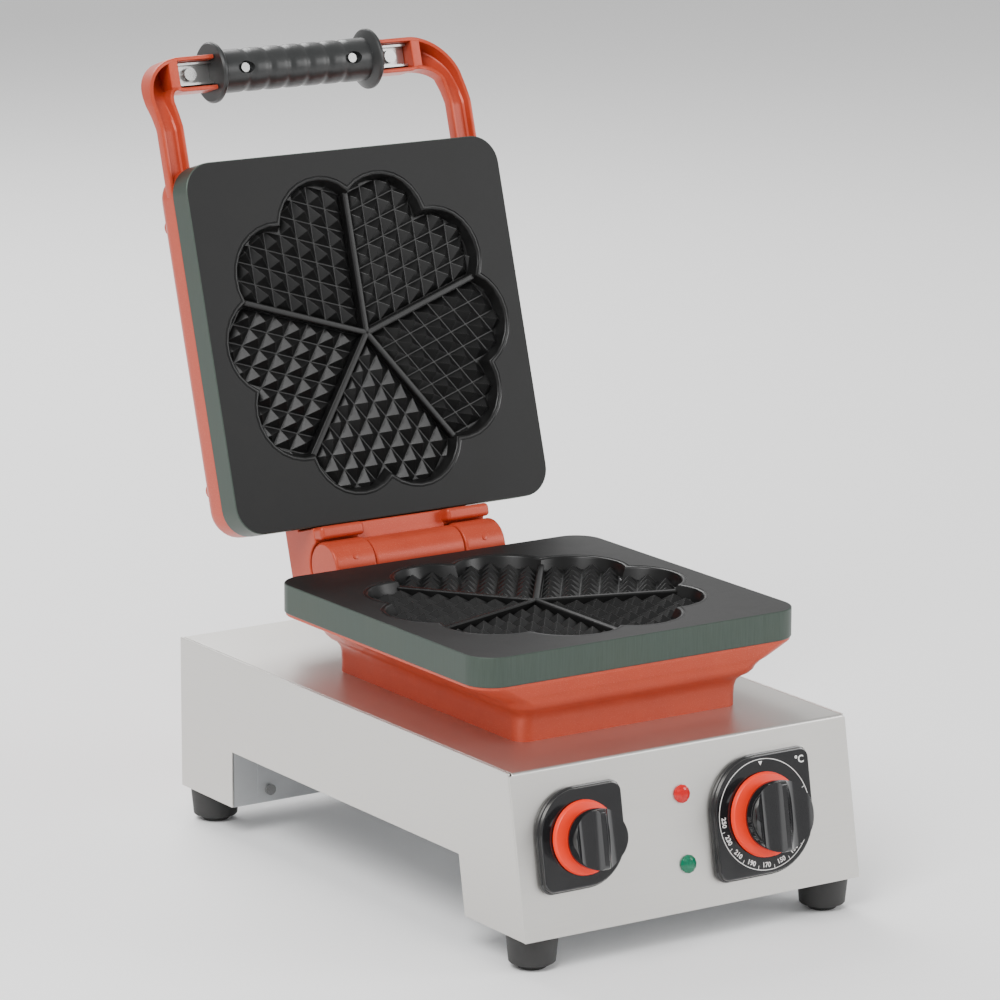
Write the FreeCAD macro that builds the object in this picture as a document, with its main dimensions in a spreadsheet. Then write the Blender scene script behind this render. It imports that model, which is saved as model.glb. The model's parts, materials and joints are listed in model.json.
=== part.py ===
"""Single waffle baker with a folded steel body and a heart-flower iron that opens on a rear hinge.

Frame: millimetres, +Z up from the table, +X to the user's right, +Y to the rear. The origin is on the
table at the middle of the box around the whole baker with its lid open.

Every piece is drawn in the body frame (y from the front bottom edge of the panel, z from the table) or in
the panel frame (x across, y up the panel, z out of it). Pieces of the lid are drawn as they lie when the
lid is shut and are then turned open about the hinge pin.
"""
import FreeCAD, Part
import math
import os
import re
import Sketcher
from FreeCAD import Placement, Rotation, Vector

# ---------------------------------------------------------------------------------------------- sizes
SIZES = [
    # body, folded from one sheet
    ("body_w", 260), ("body_d", 425), ("body_h", 105), ("panel_lean", 19), ("sheet", 1.5),
    ("bridge_h", 39), ("front_leg", 76.5), ("rear_leg", 67.5), ("slip", 0.2),
    # feet
    ("foot_h", 22), ("foot_top_d", 33.2), ("foot_low_d", 30), ("foot_inset_x", 16.7), ("foot_inset_y", 17.9),
    ("foot_inset_rear", 16.7), ("foot_tread_d", 19), ("foot_tread_h", 4.4),
    ("foot_recess_d", 13), ("foot_recess_h", 8), ("foot_screw_d", 5),
    # front panel
    ("switch_x", -83.6), ("switch_up", 60.3), ("switch_plate", 65.5), ("switch_ring_d", 47.6),
    ("dial_x", 55.7), ("dial_up", 53), ("dial_plate", 79), ("dial_ring_d", 54.8),
    ("plate_thick", 6), ("small_corner", 8), ("knob_rise", 23.5), ("knob_lip", 4.4), ("ring_wall", 10),
    ("ring_rise", 4.5), ("knob_gap", 0.6), ("shaft_d", 6), ("running", 0.05), ("flute_r", 13),
    ("flute_deep", 3.8), ("flute_x", 9.5),
    ("red_up", 75), ("green_up", 30), ("lamp_x", -3), ("lamp_d", 12), ("lamp_neck_d", 9.6),
    # iron
    ("iron_w", 250), ("iron_front", 57.5), ("iron_back", 310), ("iron_corner", 20), ("iron_thick", 19.8),
    ("iron_lift", 43.4), ("parting", 0.6), ("mould_r", 111), ("mould_deep", 9), ("rib_wide", 4.5),
    ("rib_high", 5.5),
    # lower casting
    ("rim", 6.5), ("rim_inset", 0.6), ("belly_w", 192), ("belly_deep", 21), ("stem_w", 166),
    ("stem_h", 8.5), ("stem_front", 76), ("stem_back", 286), ("wall", 5),
    # upper casting and its yoke
    ("lid_deep", 25), ("lid_round", 12), ("lid_wall", 4), ("yoke_front", -20), ("yoke_wide", 17.5),
    ("yoke_corner", 32), ("yoke_rise", 18), ("yoke_deep", 21), ("yoke_wall", 3), ("yoke_shallow", 10),
    ("yoke_lift", 1.3), ("bar_inset", 11.4), ("boss_rise", 3.5), ("block_rise", 19), ("block_reach", 12),
    # handle
    ("grip_len", 129), ("grip_d", 30), ("grip_flange_d", 42), ("grip_flange", 4), ("core_high", 15.6),
    ("core_deep", 6), ("core_reach", 93), ("core_steel", 1.5), ("core_fit", 0.3), ("bolt_x", 80.5),
    # hinge
    ("pin_y", 338), ("pin_up", 14.8), ("pin_d", 12), ("knuckle_d", 34), ("barrel_d", 32),
    ("hinge_w", 136), ("barrel_w", 71), ("side_gap", 0.5), ("lid_open", 106.6), ("hinge_clear", 1.2),
    # heating
    ("tube_d", 8), ("loop_r", 78), ("wool", 12), ("clamp", 2), ("bulb_d", 6), ("lead_x", 9),
    # rear
    ("gland_x", -80), ("gland_up", 60), ("gland_bore_d", 8.5), ("gland_d", 22), ("gland_neck_d", 16),
]
doc = FreeCAD.newDocument("waffle_baker")
sheet_obj = doc.addObject("Spreadsheet::Sheet", "Dims")
for row, (alias, value) in enumerate(SIZES, start=1):
    sheet_obj.set(f"A{row}", alias)
    sheet_obj.set(f"B{row}", str(value))
    sheet_obj.setAlias(f"B{row}", alias)
doc.recompute()
NAMES = {alias for alias, _ in SIZES}


def cell(alias):
    """The number that the sheet holds under an alias."""
    return float(getattr(sheet_obj, alias))


def rule(text):
    """An expression on the sheet: each word that is an alias becomes a reference to its cell."""
    return re.sub(r"[a-z_]+", lambda m: "Dims." + m.group() if m.group() in NAMES else m.group(), str(text))


def bind(obj, **rules):
    """Binds properties of an object to expressions on the sheet."""
    for prop, text in rules.items():
        obj.setExpression(prop.replace("__", "."), rule(text))
    return obj


# ------------------------------------------------------------------------------------- derived places
lean = math.atan2(cell("panel_lean"), cell("body_h"))
table_to_body = cell("foot_h")
top_z = table_to_body + cell("body_h")
iron_z = top_z + cell("iron_lift")                     # underside of the lower iron
face_z = iron_z + cell("iron_thick")                   # baking face of the lower iron
lid_face_z = face_z + cell("parting")
lid_z = lid_face_z + cell("iron_thick")                # back of the upper iron, where its casting starts
pin_z = iron_z + cell("pin_up")
iron_mid_y = (cell("iron_front") + cell("iron_back")) / 2
yoke_z = lid_z + cell("yoke_lift")                      # front edge of the yoke beside the iron
bar_z = yoke_z + cell("yoke_rise")                     # front edge of the yoke at the handle
bar_y = cell("yoke_front") + cell("bar_inset")          # middle of the handle
grip_z = bar_z + cell("yoke_deep") / 2
knob_top = cell("plate_thick") + cell("knob_gap") + cell("knob_rise")
knob_r = cell("dial_ring_d") / 2 - cell("knob_lip")
front_reach = (cell("dial_up") - knob_r) * math.sin(lean) - knob_top * math.cos(lean)
open_turn = math.radians(cell("lid_open"))
grip_back_y = bar_y - cell("pin_y")
grip_back_z = grip_z - pin_z
rear_reach = (cell("pin_y") + cell("grip_flange_d") / 2 + grip_back_y * math.cos(open_turn)
              + grip_back_z * math.sin(open_turn))
HOME = Placement(Vector(0, -(front_reach + rear_reach) / 2, 0), Rotation())
PIN = Vector(0, cell("pin_y"), pin_z)
OPENED = Placement(Vector(0, 0, 0), Rotation(Vector(1, 0, 0), -cell("lid_open")), PIN)
PANEL = Placement(Vector(0, 0, table_to_body), Rotation(Vector(1, 0, 0), 90 - math.degrees(lean)))
BODY, LID = HOME, HOME.multiply(OPENED)


def on_panel(x, up, out=0.0):
    """The placement of something on the front panel: across, up the panel, and out of it."""
    return HOME.multiply(PANEL).multiply(Placement(Vector(x, up, out), Rotation()))


# --------------------------------------------------------------------------------------------- makers
pieces = {}


def keep(obj, label, pose):
    """Names a finished piece and puts it in its place."""
    doc.recompute()
    obj.Label = label
    obj.Placement = pose
    pieces[label] = obj
    return obj


def outline(body, plane, points):
    """A closed sketch of straight lines whose corners are bound to the sheet, on one of a body's planes."""
    sketch = body.newObject("Sketcher::SketchObject", body.Name + "_sketch")
    support = [f for f in body.Origin.OriginFeatures if f.Role == plane][0]
    sketch.AttachmentSupport = [(support, "")]
    sketch.MapMode = "FlatFace"
    spots = []
    for across, up in points:
        spots.append(Vector(sketch_value(across), sketch_value(up), 0))
    count = len(spots)
    for n in range(count):
        sketch.addGeometry(Part.LineSegment(spots[n], spots[(n + 1) % count]), False)
    for n in range(count):
        sketch.addConstraint(Sketcher.Constraint("Coincident", n, 2, (n + 1) % count, 1))
    for n, (across, up) in enumerate(points):
        for kind, text, axis in (("DistanceX", across, -2), ("DistanceY", up, -1)):
            value = sketch_value(text)
            if abs(value) < 1e-9:
                sketch.addConstraint(Sketcher.Constraint("PointOnObject", n, 1, axis))
                continue
            index = sketch.addConstraint(Sketcher.Constraint(kind, -1, 1, n, 1, value))
            sketch.setExpression(f"Constraints[{index}]", rule(text))
    return sketch


probe = doc.addObject("App::FeaturePython", "Probe")
probe.addProperty("App::PropertyFloat", "Value")


def sketch_value(text):
    """What an expression on the sheet comes to now."""
    probe.setExpression("Value", rule(text))
    probe.recompute()
    return float(probe.Value)


def turned(label, points, pose):
    """A round piece: the outline, radius and height, is turned about Z."""
    body = doc.addObject("PartDesign::Body", label + "_body")
    sketch = outline(body, "XZ_Plane", points)
    spin = body.newObject("PartDesign::Revolution", label + "_turn")
    spin.Profile = sketch
    spin.ReferenceAxis = (sketch, ["V_Axis"])
    spin.Angle = 360
    return keep(body, label, pose) if pose else body


def padded(name, plane, points, length, both=False):
    """A piece cut from an outline and given a thickness."""
    body = doc.addObject("PartDesign::Body", name + "_body")
    sketch = outline(body, plane, points)
    pad = body.newObject("PartDesign::Pad", name + "_pad")
    pad.Profile = sketch
    pad.Midplane = both
    bind(pad, Length=length)
    doc.recompute()
    return body


def block(name, x, y, z, dx, dy, dz):
    """A box from its lowest corner and its three sizes."""
    return bind(doc.addObject("Part::Box", name), Length=dx, Width=dy, Height=dz,
                Placement__Base__x=x, Placement__Base__y=y, Placement__Base__z=z)


def rod(name, radius, height, x=0, y=0, z=0, turn=None):
    """A cylinder from the middle of its foot, along Z unless it is turned."""
    obj = doc.addObject("Part::Cylinder", name)
    if turn:
        obj.Placement = Placement(Vector(0, 0, 0), turn)
    return bind(obj, Radius=radius, Height=height,
                Placement__Base__x=x, Placement__Base__y=y, Placement__Base__z=z)


def joined(name, shapes):
    """Several objects made one."""
    obj = doc.addObject("Part::MultiFuse", name)
    obj.Shapes = shapes
    obj.Refine = True
    return obj


def group(name, shapes):
    """Identical fasteners kept as separate solids of one node."""
    obj = doc.addObject("Part::Compound", name)
    obj.Links = shapes
    return obj


def without(name, base, tools):
    """One object less others."""
    tool = tools[0] if len(tools) == 1 else joined(name + "_tools", tools)
    obj = doc.addObject("Part::Cut", name)
    obj.Base, obj.Tool = base, tool
    obj.Refine = True
    return obj


def rounded(name, base, radius, chosen):
    """A piece with some of its straight edges rounded: chosen(middle, direction) picks them."""
    doc.recompute()
    picked = []
    for index, edge in enumerate(base.Shape.Edges, start=1):
        ends = [v.Point for v in edge.Vertexes]
        if len(ends) == 2 and chosen((ends[0] + ends[1]) / 2, (ends[1] - ends[0]).normalize()):
            picked.append((index, radius, radius))
    obj = doc.addObject("Part::Fillet", name)
    obj.Base = base
    obj.Edges = picked
    return obj


def feature(name, shape):
    """A shape worked out by Part's own functions."""
    obj = doc.addObject("Part::Feature", name)
    obj.Shape = shape
    return obj


def upright(middle, direction):
    return abs(direction.z) > 0.99


def slab(half, y0, y1, z0, z1, corner):
    """A flat block with rounded upright corners, centred on X; sizes are numbers."""
    shape = Part.makeBox(2 * half, y1 - y0, z1 - z0, Vector(-half, y0, z0))
    edges = [e for e in shape.Edges if abs(e.tangentAt(e.FirstParameter).z) > 0.99]
    return shape.makeFillet(corner, edges)


def ring_wire(half, y0, y1, z, corner):
    """The rounded rectangle at one height that the cast forms are drawn between."""
    face = [f for f in slab(half, y0, y1, z, z + 1, corner).Faces
            if f.normalAt(0, 0).z < -0.99][0]
    return face.OuterWire


def taper(low, high):
    """A cast form between two rounded rectangles, each given as half width, y0, y1, z and corner."""
    return Part.makeLoft([ring_wire(*low), ring_wire(*high)], True, True)


def bar_x(half, points):
    """A bar along X, centred, whose section is an outline in Y and Z."""
    wire = Part.makePolygon([Vector(-half, y, z) for y, z in points + points[:1]])
    return Part.Face(wire).extrude(Vector(2 * half, 0, 0))


def rod_x(radius, x0, x1, y, z):
    """A rod along X."""
    return Part.makeCylinder(radius, x1 - x0, Vector(x0, y, z), Vector(1, 0, 0))


ACROSS = Rotation(Vector(0, 1, 0), 90)
ALONG = Rotation(Vector(1, 0, 0), -90)

# -------------------------------------------------------------------------------------------- housing
slope = "panel_lean/body_h"
side = [("0", "foot_h"), ("panel_lean", "foot_h + body_h"), ("body_d", "foot_h + body_h"),
        ("body_d", "foot_h"), ("body_d - rear_leg", "foot_h"), ("body_d - rear_leg", "foot_h + bridge_h"),
        ("front_leg", "foot_h + bridge_h"), (f"front_leg - bridge_h*{slope}", "foot_h")]
shell = padded("shell", "YZ_Plane", side, "body_w - 2*sheet", both=True)
inner = padded("shell_room", "YZ_Plane", [
    (f"sheet*1.016 - foot_h*{slope}/2", "foot_h/2"),
    (f"sheet*1.016 + (body_h - sheet)*{slope}", "foot_h + body_h - sheet"),
    ("body_d - sheet", "foot_h + body_h - sheet"), ("body_d - sheet", "foot_h/2")],
    "body_w", both=True)
BOLT_SPOTS = [(x, y) for x in (-1, 1) for y in ("stem_front + 24", "stem_back - 24")]
shell_holes = [rod(f"bolt_hole_{n}", 3.3, 8, f"{x}*(stem_w/2 - 22)", y, "foot_h + body_h - 5")
               for n, (x, y) in enumerate(BOLT_SPOTS)]
shell_holes.append(rod("wire_hole", 14, 8, 0, "(stem_front + stem_back)/2", "foot_h + body_h - 5"))
shell_holes.append(rod("gland_hole", "gland_neck_d/2", 10, "gland_x", "body_d - 5", "foot_h + gland_up",
                       ALONG))


def panel_hole(name, radius, x, up):
    """A hole through the leaning front panel."""
    hole = rod(name, radius, 12)
    pose = PANEL.multiply(Placement(Vector(cell(x), cell(up), -6), Rotation()))
    hole.setExpression("Placement.Base.x", None)
    hole.setExpression("Placement.Base.y", None)
    hole.setExpression("Placement.Base.z", None)
    hole.Placement = pose
    return hole


shell_holes += [panel_hole("switch_hole", 5, "switch_x", "switch_up"),
                panel_hole("dial_hole", 5, "dial_x", "dial_up"),
                panel_hole("red_hole", "lamp_neck_d/2", "lamp_x", "red_up"),
                panel_hole("green_hole", "lamp_neck_d/2", "lamp_x", "green_up")]
keep(without("shell_cut", without("shell_hollow", shell, [inner]), shell_holes), "housing_shell", BODY)
for name, inner_x in (("left", -cell("body_w") / 2), ("right", cell("body_w") / 2 - cell("sheet"))):
    cheek = padded("cheek_" + name, "YZ_Plane", side, "sheet")
    keep(cheek, "side_panel_" + name, HOME.multiply(Placement(Vector(inner_x, 0, 0), Rotation())))

tray_path = [
    (f"sheet*2 + sheet*{slope} + slip", "foot_h"),
    (f"front_leg - bridge_h*{slope}", "foot_h"), ("front_leg", "foot_h + bridge_h"),
    ("body_d - rear_leg", "foot_h + bridge_h"), ("body_d - rear_leg", "foot_h"),
    ("body_d - sheet - slip", "foot_h"), ("body_d - sheet - slip", "foot_h + sheet"),
    ("body_d - rear_leg + sheet", "foot_h + sheet"),
    ("body_d - rear_leg + sheet", "foot_h + bridge_h + sheet"),
    ("front_leg - sheet", "foot_h + bridge_h + sheet"),
    (f"front_leg - sheet - bridge_h*{slope}", "foot_h + sheet"),
    (f"sheet*2 + sheet*{slope} + slip", "foot_h + sheet")]
tray = padded("tray", "YZ_Plane", tray_path, "body_w - 2*sheet - 2*slip", both=True)
FEET = {"front_left": (-1, "foot_inset_y"), "front_right": (1, "foot_inset_y"),
        "rear_left": (-1, "body_d - foot_inset_rear"), "rear_right": (1, "body_d - foot_inset_rear")}
foot_x = "(body_w/2 - foot_inset_x)"
tray_holes = [rod(f"foot_hole_{name}", "foot_screw_d/2", 8, f"{x}*{foot_x}", y, "foot_h - 3")
              for name, (x, y) in FEET.items()]
cover_half = "(body_w/2 - 20)"
COVER_SCREWS = [(-1, "foot_h + 9"), (1, "foot_h + 9")]
tray_holes += [rod(f"cover_hole_{n}", 1.6, 8, f"{x}*({cover_half} - 9)", "body_d - rear_leg - 3", z, ALONG)
               for n, (x, z) in enumerate(COVER_SCREWS)]
keep(without("tray_cut", tray, tray_holes), "bottom_tray", BODY)

cover = block("cover_blank", f"0 - {cover_half}", "body_d - rear_leg - 1", "foot_h + 2",
              f"2*{cover_half}", 1, "bridge_h - 6")
cover_round = rounded("cover_round", cover, 6, lambda middle, direction: abs(direction.y) > 0.99)
cover_holes = [rod(f"cover_pierce_{n}", 1.6, 8, f"{x}*({cover_half} - 9)", "body_d - rear_leg - 4", z, ALONG)
               for n, (x, z) in enumerate(COVER_SCREWS)]
keep(without("cover_cut", cover_round, cover_holes), "rear_leg_cover", BODY)
screws = []
for n, (x, z) in enumerate(COVER_SCREWS):
    at_x = f"{x}*({cover_half} - 9)"
    screws.append(joined(f"cover_screw_{n}", [
        rod(f"cover_head_{n}", 3.8, 2.2, at_x, "body_d - rear_leg - 3.2", z, ALONG),
        rod(f"cover_shank_{n}", 1.6, 9, at_x, "body_d - rear_leg - 1", z, ALONG)]))
keep(group("cover_screw_set", screws), "cover_screws", BODY)

# ----------------------------------------------------------------------------------------------- feet
foot_outline = [
    ("foot_recess_d/2", "0"), ("foot_tread_d/2 - 0.8", "0"), ("foot_tread_d/2", "0.8"),
    ("foot_tread_d/2 + 0.4", "foot_tread_h/2"), ("foot_low_d/2 - 0.7", "foot_tread_h - 0.7"),
    ("foot_low_d/2", "foot_tread_h"), ("foot_top_d/2", "foot_h - 2"), ("foot_top_d/2", "foot_h"),
    ("foot_screw_d/2", "foot_h"), ("foot_screw_d/2", "foot_recess_h"), ("foot_recess_d/2", "foot_recess_h")]
foot_screws, foot_nuts = [], []
for name, (x, y) in FEET.items():
    spot = Placement(Vector(x * (cell("body_w") / 2 - cell("foot_inset_x")), sketch_value(y), 0), Rotation())
    turned("foot_" + name, foot_outline, HOME.multiply(spot))
    at_x = f"{x}*{foot_x}"
    foot_screws.append(joined("foot_screw_" + name, [
        rod("foot_head_" + name, 4.7, 3.4, at_x, y, "foot_recess_h - 3.4"),
        rod("foot_shank_" + name, "foot_screw_d/2", "foot_h + sheet + 7 - foot_recess_h", at_x, y,
            "foot_recess_h")]))
    nut = doc.addObject("Part::Prism", "foot_nut_blank_" + name)
    bind(nut, Polygon=6, Circumradius="foot_screw_d*0.9", Height=4, Placement__Base__x=at_x,
         Placement__Base__y=y, Placement__Base__z="foot_h + sheet")
    foot_nuts.append(without("foot_nut_" + name, nut, [
        rod("foot_nut_hole_" + name, "foot_screw_d/2", 8, at_x, y, "foot_h")]))
keep(group("foot_screw_set", foot_screws), "foot_screws", BODY)
keep(group("foot_nut_set", foot_nuts), "foot_nuts", BODY)


# -------------------------------------------------------------------------------------- front panel
def control(label, size, ring_d, x, up, box_wide, box_deep):
    """One rotary control: leaf-shaped plate, coloured ring, knob, shaft and the works behind the panel."""
    here = on_panel(cell(x), cell(up))
    blank = block(label + "_blank", f"0 - {size}/2", f"0 - {size}/2", 0, size, size, "plate_thick")
    big = cell(size) * 0.46
    small = cell("small_corner")
    leaf = rounded(label + "_leaf", blank, big, lambda m, d: upright(m, d) and m.x * m.y < 0)
    leaf = rounded(label + "_leaf_end", leaf, small,
                   lambda m, d: upright(m, d) and m.x * m.y > cell(size) ** 2 / 4.2)
    keep(without(label + "_plate_cut", leaf, [rod(label + "_plate_hole", 5, 30, 0, 0, -5)]),
         label + "_plate", here)
    foot = "plate_thick + knob_gap"
    ring_in = f"{ring_d}/2 - ring_wall"
    turned(label + "_ring", [(f"{ring_in} + slip/4", foot), (f"{ring_d}/2", foot),
                             (f"{ring_d}/2 - 0.8", f"{foot} + ring_rise"),
                             (f"{ring_in} + slip/4", f"{foot} + ring_rise")], here)
    lip = f"{ring_d}/2 - knob_lip"
    top = f"{foot} + knob_rise"
    bell = turned(label + "_bell", [
        ("0", foot), (ring_in, foot), (ring_in, f"{foot} + ring_rise"),
        (f"{lip} - 1", f"{foot} + knob_rise*0.7"), (lip, f"{foot} + knob_rise*0.85"),
        (lip, f"{top} - 1.5"), (f"{lip} - 1.5", top), ("0", top)], None)
    flutes = [rod(f"{label}_flute_{n}", "flute_r", 60, f"{n}*flute_x", -30,
                  f"{top} + flute_r - flute_deep", ALONG) for n in (-1, 1)]
    bore = rod(label + "_knob_bore", "shaft_d/2", "knob_rise - 6", 0, 0, foot)
    keep(without(label + "_knob_cut", bell, flutes + [bore]), label + "_knob", here)
    shaft = rod(label + "_shaft_rod", "shaft_d/2", f"{foot} + knob_rise - 6 + sheet + 14", 0, 0,
                "0 - sheet - 14")
    keep(group(label + "_shaft_set", [shaft]), label + "_shaft", here)
    works = block(label + "_works", f"0 - {box_wide}/2", f"0 - {box_wide}/2", f"0 - sheet - {box_deep}",
                  box_wide, box_wide, box_deep)
    works_bore = rod(label + "_works_bore", "shaft_d/2 + running", 20, 0, 0, "0 - sheet - 14.5")
    keep(without(label + "_works_cut", works, [works_bore]), label + "_body", here)


control("switch", "switch_plate", "switch_ring_d", "switch_x", "switch_up", 40, 38)
control("thermostat", "dial_plate", "dial_ring_d", "dial_x", "dial_up", 42, 28)
for colour in ("red", "green"):
    here = on_panel(cell("lamp_x"), cell(colour + "_up"))
    turned(colour + "_lamp_lens", [
        ("0", "0"), ("lamp_d/2", "0"), ("lamp_d/2", "1.2"), ("lamp_d/2 - 1.2", "2.6"),
        ("lamp_d/2 - 3.4", "3.6"), ("0", "3.9")], here)
    turned(colour + "_lamp_body", [("0", "-24"), ("lamp_neck_d/2 - 1", "-24"), ("lamp_neck_d/2", "-23"),
                                   ("lamp_neck_d/2", "0"), ("0", "0")], here)

# ------------------------------------------------------------------------------------- rear inlet
gland_points = [("gland_bore_d/2", "0 - sheet - 8"), ("gland_neck_d/2 + 4", "0 - sheet - 8"),
                ("gland_neck_d/2 + 4", "0 - sheet"), ("gland_neck_d/2", "0 - sheet"), ("gland_neck_d/2", "0"),
                ("gland_d/2", "0"), ("gland_d/2", "5"), ("gland_d/2 - 3", "12"), ("gland_bore_d/2", "12")]
rear_wall = Placement(Vector(cell("gland_x"), cell("body_d"), table_to_body + cell("gland_up")), ALONG)
turned("cable_gland", gland_points, HOME.multiply(rear_wall))
terminals = block("terminal_blank", "gland_x - 30", "body_d - rear_leg - 48",
                  "foot_h + bridge_h + sheet", 60, 24, 20)
keep(group("terminal_set", [terminals]), "terminal_block", BODY)

# ------------------------------------------------------------------------------------- lower casting
half_rim = cell("iron_w") / 2 - cell("rim_inset")
rim_y0, rim_y1 = cell("iron_front") + cell("rim_inset"), cell("iron_back") - cell("rim_inset")
belly, stem = cell("belly_w") / 2, cell("stem_w") / 2
belly_z, stem_z = iron_z - cell("belly_deep"), top_z + cell("stem_h")
corner = cell("iron_corner")
pin_y = cell("pin_y")
hinge_half, barrel_half = cell("hinge_w") / 2, cell("barrel_w") / 2


def lower_casting():
    """The base iron's cast pan: rim, belly and stem, open on top, with two hinge knuckles behind it."""
    rim_low = iron_z - cell("rim")
    solid = slab(half_rim, rim_y0, rim_y1, rim_low, iron_z, corner)
    under = [e for e in solid.Edges if abs(e.BoundBox.ZMax - rim_low) < 1e-6]
    solid = solid.makeFillet(cell("rim") * 0.6, under)
    belly_top = (belly + 6, rim_y0 + 0.8, rim_y1 - 6, rim_low + 0.5, corner * 0.7)
    belly_mid = (belly, rim_y0 + 2.0, rim_y1 - 9, rim_low - 5, corner * 0.7)
    belly_low = (belly - 3, rim_y0 + 4.5, rim_y1 - 11, belly_z, corner * 0.6)
    stem_top = (stem, cell("stem_front"), cell("stem_back"), stem_z, corner * 0.5)
    stem_low = (stem, cell("stem_front"), cell("stem_back"), top_z, corner * 0.5)
    levels = [stem_low, stem_top, belly_low, belly_mid, belly_top]
    for low, high in list(zip(levels, levels[1:]))[::-1]:
        solid = solid.fuse(taper(low, high))
    pan_half, pan_y0, pan_y1, pan_z = belly - 2 * cell("wall"), rim_y0 + 14, rim_y1 - 22, belly_z + 3
    pan_low = (stem - cell("wall"), cell("stem_front") + cell("wall"), cell("stem_back") - cell("wall"),
               stem_z, corner * 0.4)
    pan = slab(pan_half, pan_y0, pan_y1, pan_z, iron_z + 1, corner * 0.5)
    pan = pan.fuse(taper(pan_low, (pan_half, pan_y0, pan_y1, pan_z, corner * 0.5)))
    radius = cell("knuckle_d") / 2
    ear = bar_x(hinge_half, [
        (rim_y1 - 20, belly_z + 4), (rim_y1 - 20, iron_z - 0.5), (pin_y - radius - 5, iron_z - 0.5),
        (pin_y - radius + 1, pin_z - 5), (pin_y, pin_z), (pin_y + radius - 1, pin_z - 5),
        (pin_y + 8, pin_z - radius + 2), (pin_y + 8, pin_z - radius - 8), (pin_y - 8, belly_z + 4)])
    ear = ear.fuse(rod_x(radius, -hinge_half, hinge_half, pin_y, pin_z))
    room = barrel_half + cell("side_gap")
    gap = rod_x(cell("barrel_d") / 2 + cell("hinge_clear"), -room, room, pin_y, pin_z)
    gap = gap.fuse(Part.makeBox(2 * room, 60, 60, Vector(-room, pin_y - radius - 4, pin_z - 6)))
    solid = solid.fuse(ear.cut(gap)).cut(pan)
    solid = solid.cut(rod_x(cell("pin_d") / 2, -hinge_half - 1, hinge_half + 1, pin_y, pin_z))
    wires = Part.makeCylinder(14, 60, Vector(0, (cell("stem_front") + cell("stem_back")) / 2, top_z - 1))
    solid = solid.cut(wires)
    for x, y in BOLT_SPOTS:
        spot = Vector(x * (stem - 22), sketch_value(y), top_z - 1)
        solid = solid.cut(Part.makeCylinder(3, 8, spot))
    for x, y in LOWER_SCREWS:
        solid = solid.cut(Part.makeCylinder(3, 60, Vector(x, y, top_z - 1)))
        solid = solid.cut(Part.makeCylinder(6, 5, Vector(x, y, top_z - 1)))
    for side_x in (-1, 1):
        for_grub = Vector(side_x * (hinge_half + barrel_half) / 2, pin_y, pin_z)
        solid = solid.cut(Part.makeCylinder(2, radius + 2, for_grub, Vector(0, -1, 0.25)))
    return solid.removeSplitter()


screw_x = stem - 7
LOWER_SCREWS = [(x * screw_x, y) for x in (-1, 1) for y in (cell("stem_front") + 30, cell("stem_back") - 30)]
keep(feature("lower_casting_shape", lower_casting()), "lower_casting", BODY)
bolts = []
for n, (x, y) in enumerate(BOLT_SPOTS):
    at_x = f"{x}*(stem_w/2 - 22)"
    bolts.append(joined(f"casting_bolt_{n}", [
        rod(f"casting_bolt_head_{n}", 5.5, 4, at_x, y, "foot_h + body_h - sheet - 4"),
        rod(f"casting_bolt_shank_{n}", 3, "sheet + 6.5", at_x, y, "foot_h + body_h - sheet")]))
keep(group("casting_bolt_set", bolts), "casting_bolts", BODY)


# --------------------------------------------------------------------------------------------- irons
def flower(z0, height, rib_z):
    """The baking mould: five hearts, ten lobes in all, with a low rib left standing between the hearts."""
    lobe = cell("mould_r") * 0.31
    reach = cell("mould_r") - lobe
    solid = Part.makeCylinder(reach * 0.96, height, Vector(0, iron_mid_y, z0))
    for n in range(10):
        turn = math.radians(36 * n)
        spot = Vector(reach * math.cos(turn), iron_mid_y + reach * math.sin(turn), z0)
        solid = solid.fuse(Part.makeCylinder(lobe, height, spot))
    for n in range(5):
        corner_spot = Vector(0, -cell("rib_wide") / 2, 0)
        rib = Part.makeBox(cell("mould_r"), cell("rib_wide"), cell("rib_high"), corner_spot)
        rib.Placement = Placement(Vector(0, iron_mid_y, rib_z), Rotation(Vector(0, 0, 1), 270 + 72 * n))
        solid = solid.cut(rib)
    return solid


def iron(z0, face_up, screws, reach):
    """A cast iron plate with the mould in its baking face and blind screw holes in its back."""
    back_z = z0 + cell("iron_thick")
    solid = slab(cell("iron_w") / 2, cell("iron_front"), cell("iron_back"), z0, back_z, corner)
    deep = cell("mould_deep")
    if face_up:
        solid = solid.cut(flower(back_z - deep, deep + 1, back_z - deep))
    else:
        solid = solid.cut(flower(z0 - 1, deep + 1, z0 + deep - cell("rib_high")))
    for x, y in screws:
        foot = z0 - 1 if face_up else back_z - reach
        solid = solid.cut(Part.makeCylinder(3, reach + 1, Vector(x, y, foot)))
    return solid.removeSplitter()


UPPER_SCREWS = [(x * (half_rim - 12), y) for x in (-1, 1)
                for y in (cell("iron_front") + 37, cell("iron_back") - 35)]
BITE = 7
keep(feature("lower_iron_shape", iron(iron_z, True, LOWER_SCREWS, BITE)), "lower_iron", BODY)
keep(feature("upper_iron_shape", iron(lid_face_z, False, UPPER_SCREWS, BITE)), "upper_iron", LID)


def screw(x, y, tip, head, radius_head, height_head):
    """A machine screw along Z from its tip to the seat of its head."""
    way = 1 if head > tip else -1
    shank = Part.makeCylinder(3, abs(head - tip), Vector(x, y, tip), Vector(0, 0, way))
    cap = Part.makeCylinder(radius_head, height_head, Vector(x, y, head), Vector(0, 0, way))
    return shank.fuse(cap)


lower_set = [screw(x, y, iron_z + BITE, top_z + 4, 5.5, 3.8) for x, y in LOWER_SCREWS]
keep(feature("lower_screw_set", Part.makeCompound(lower_set)), "lower_iron_screws", BODY)

# ----------------------------------------------------------------------------- upper casting and yoke
lid_back = lid_z + cell("lid_deep")
boss_top = lid_back + cell("boss_rise")


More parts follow.
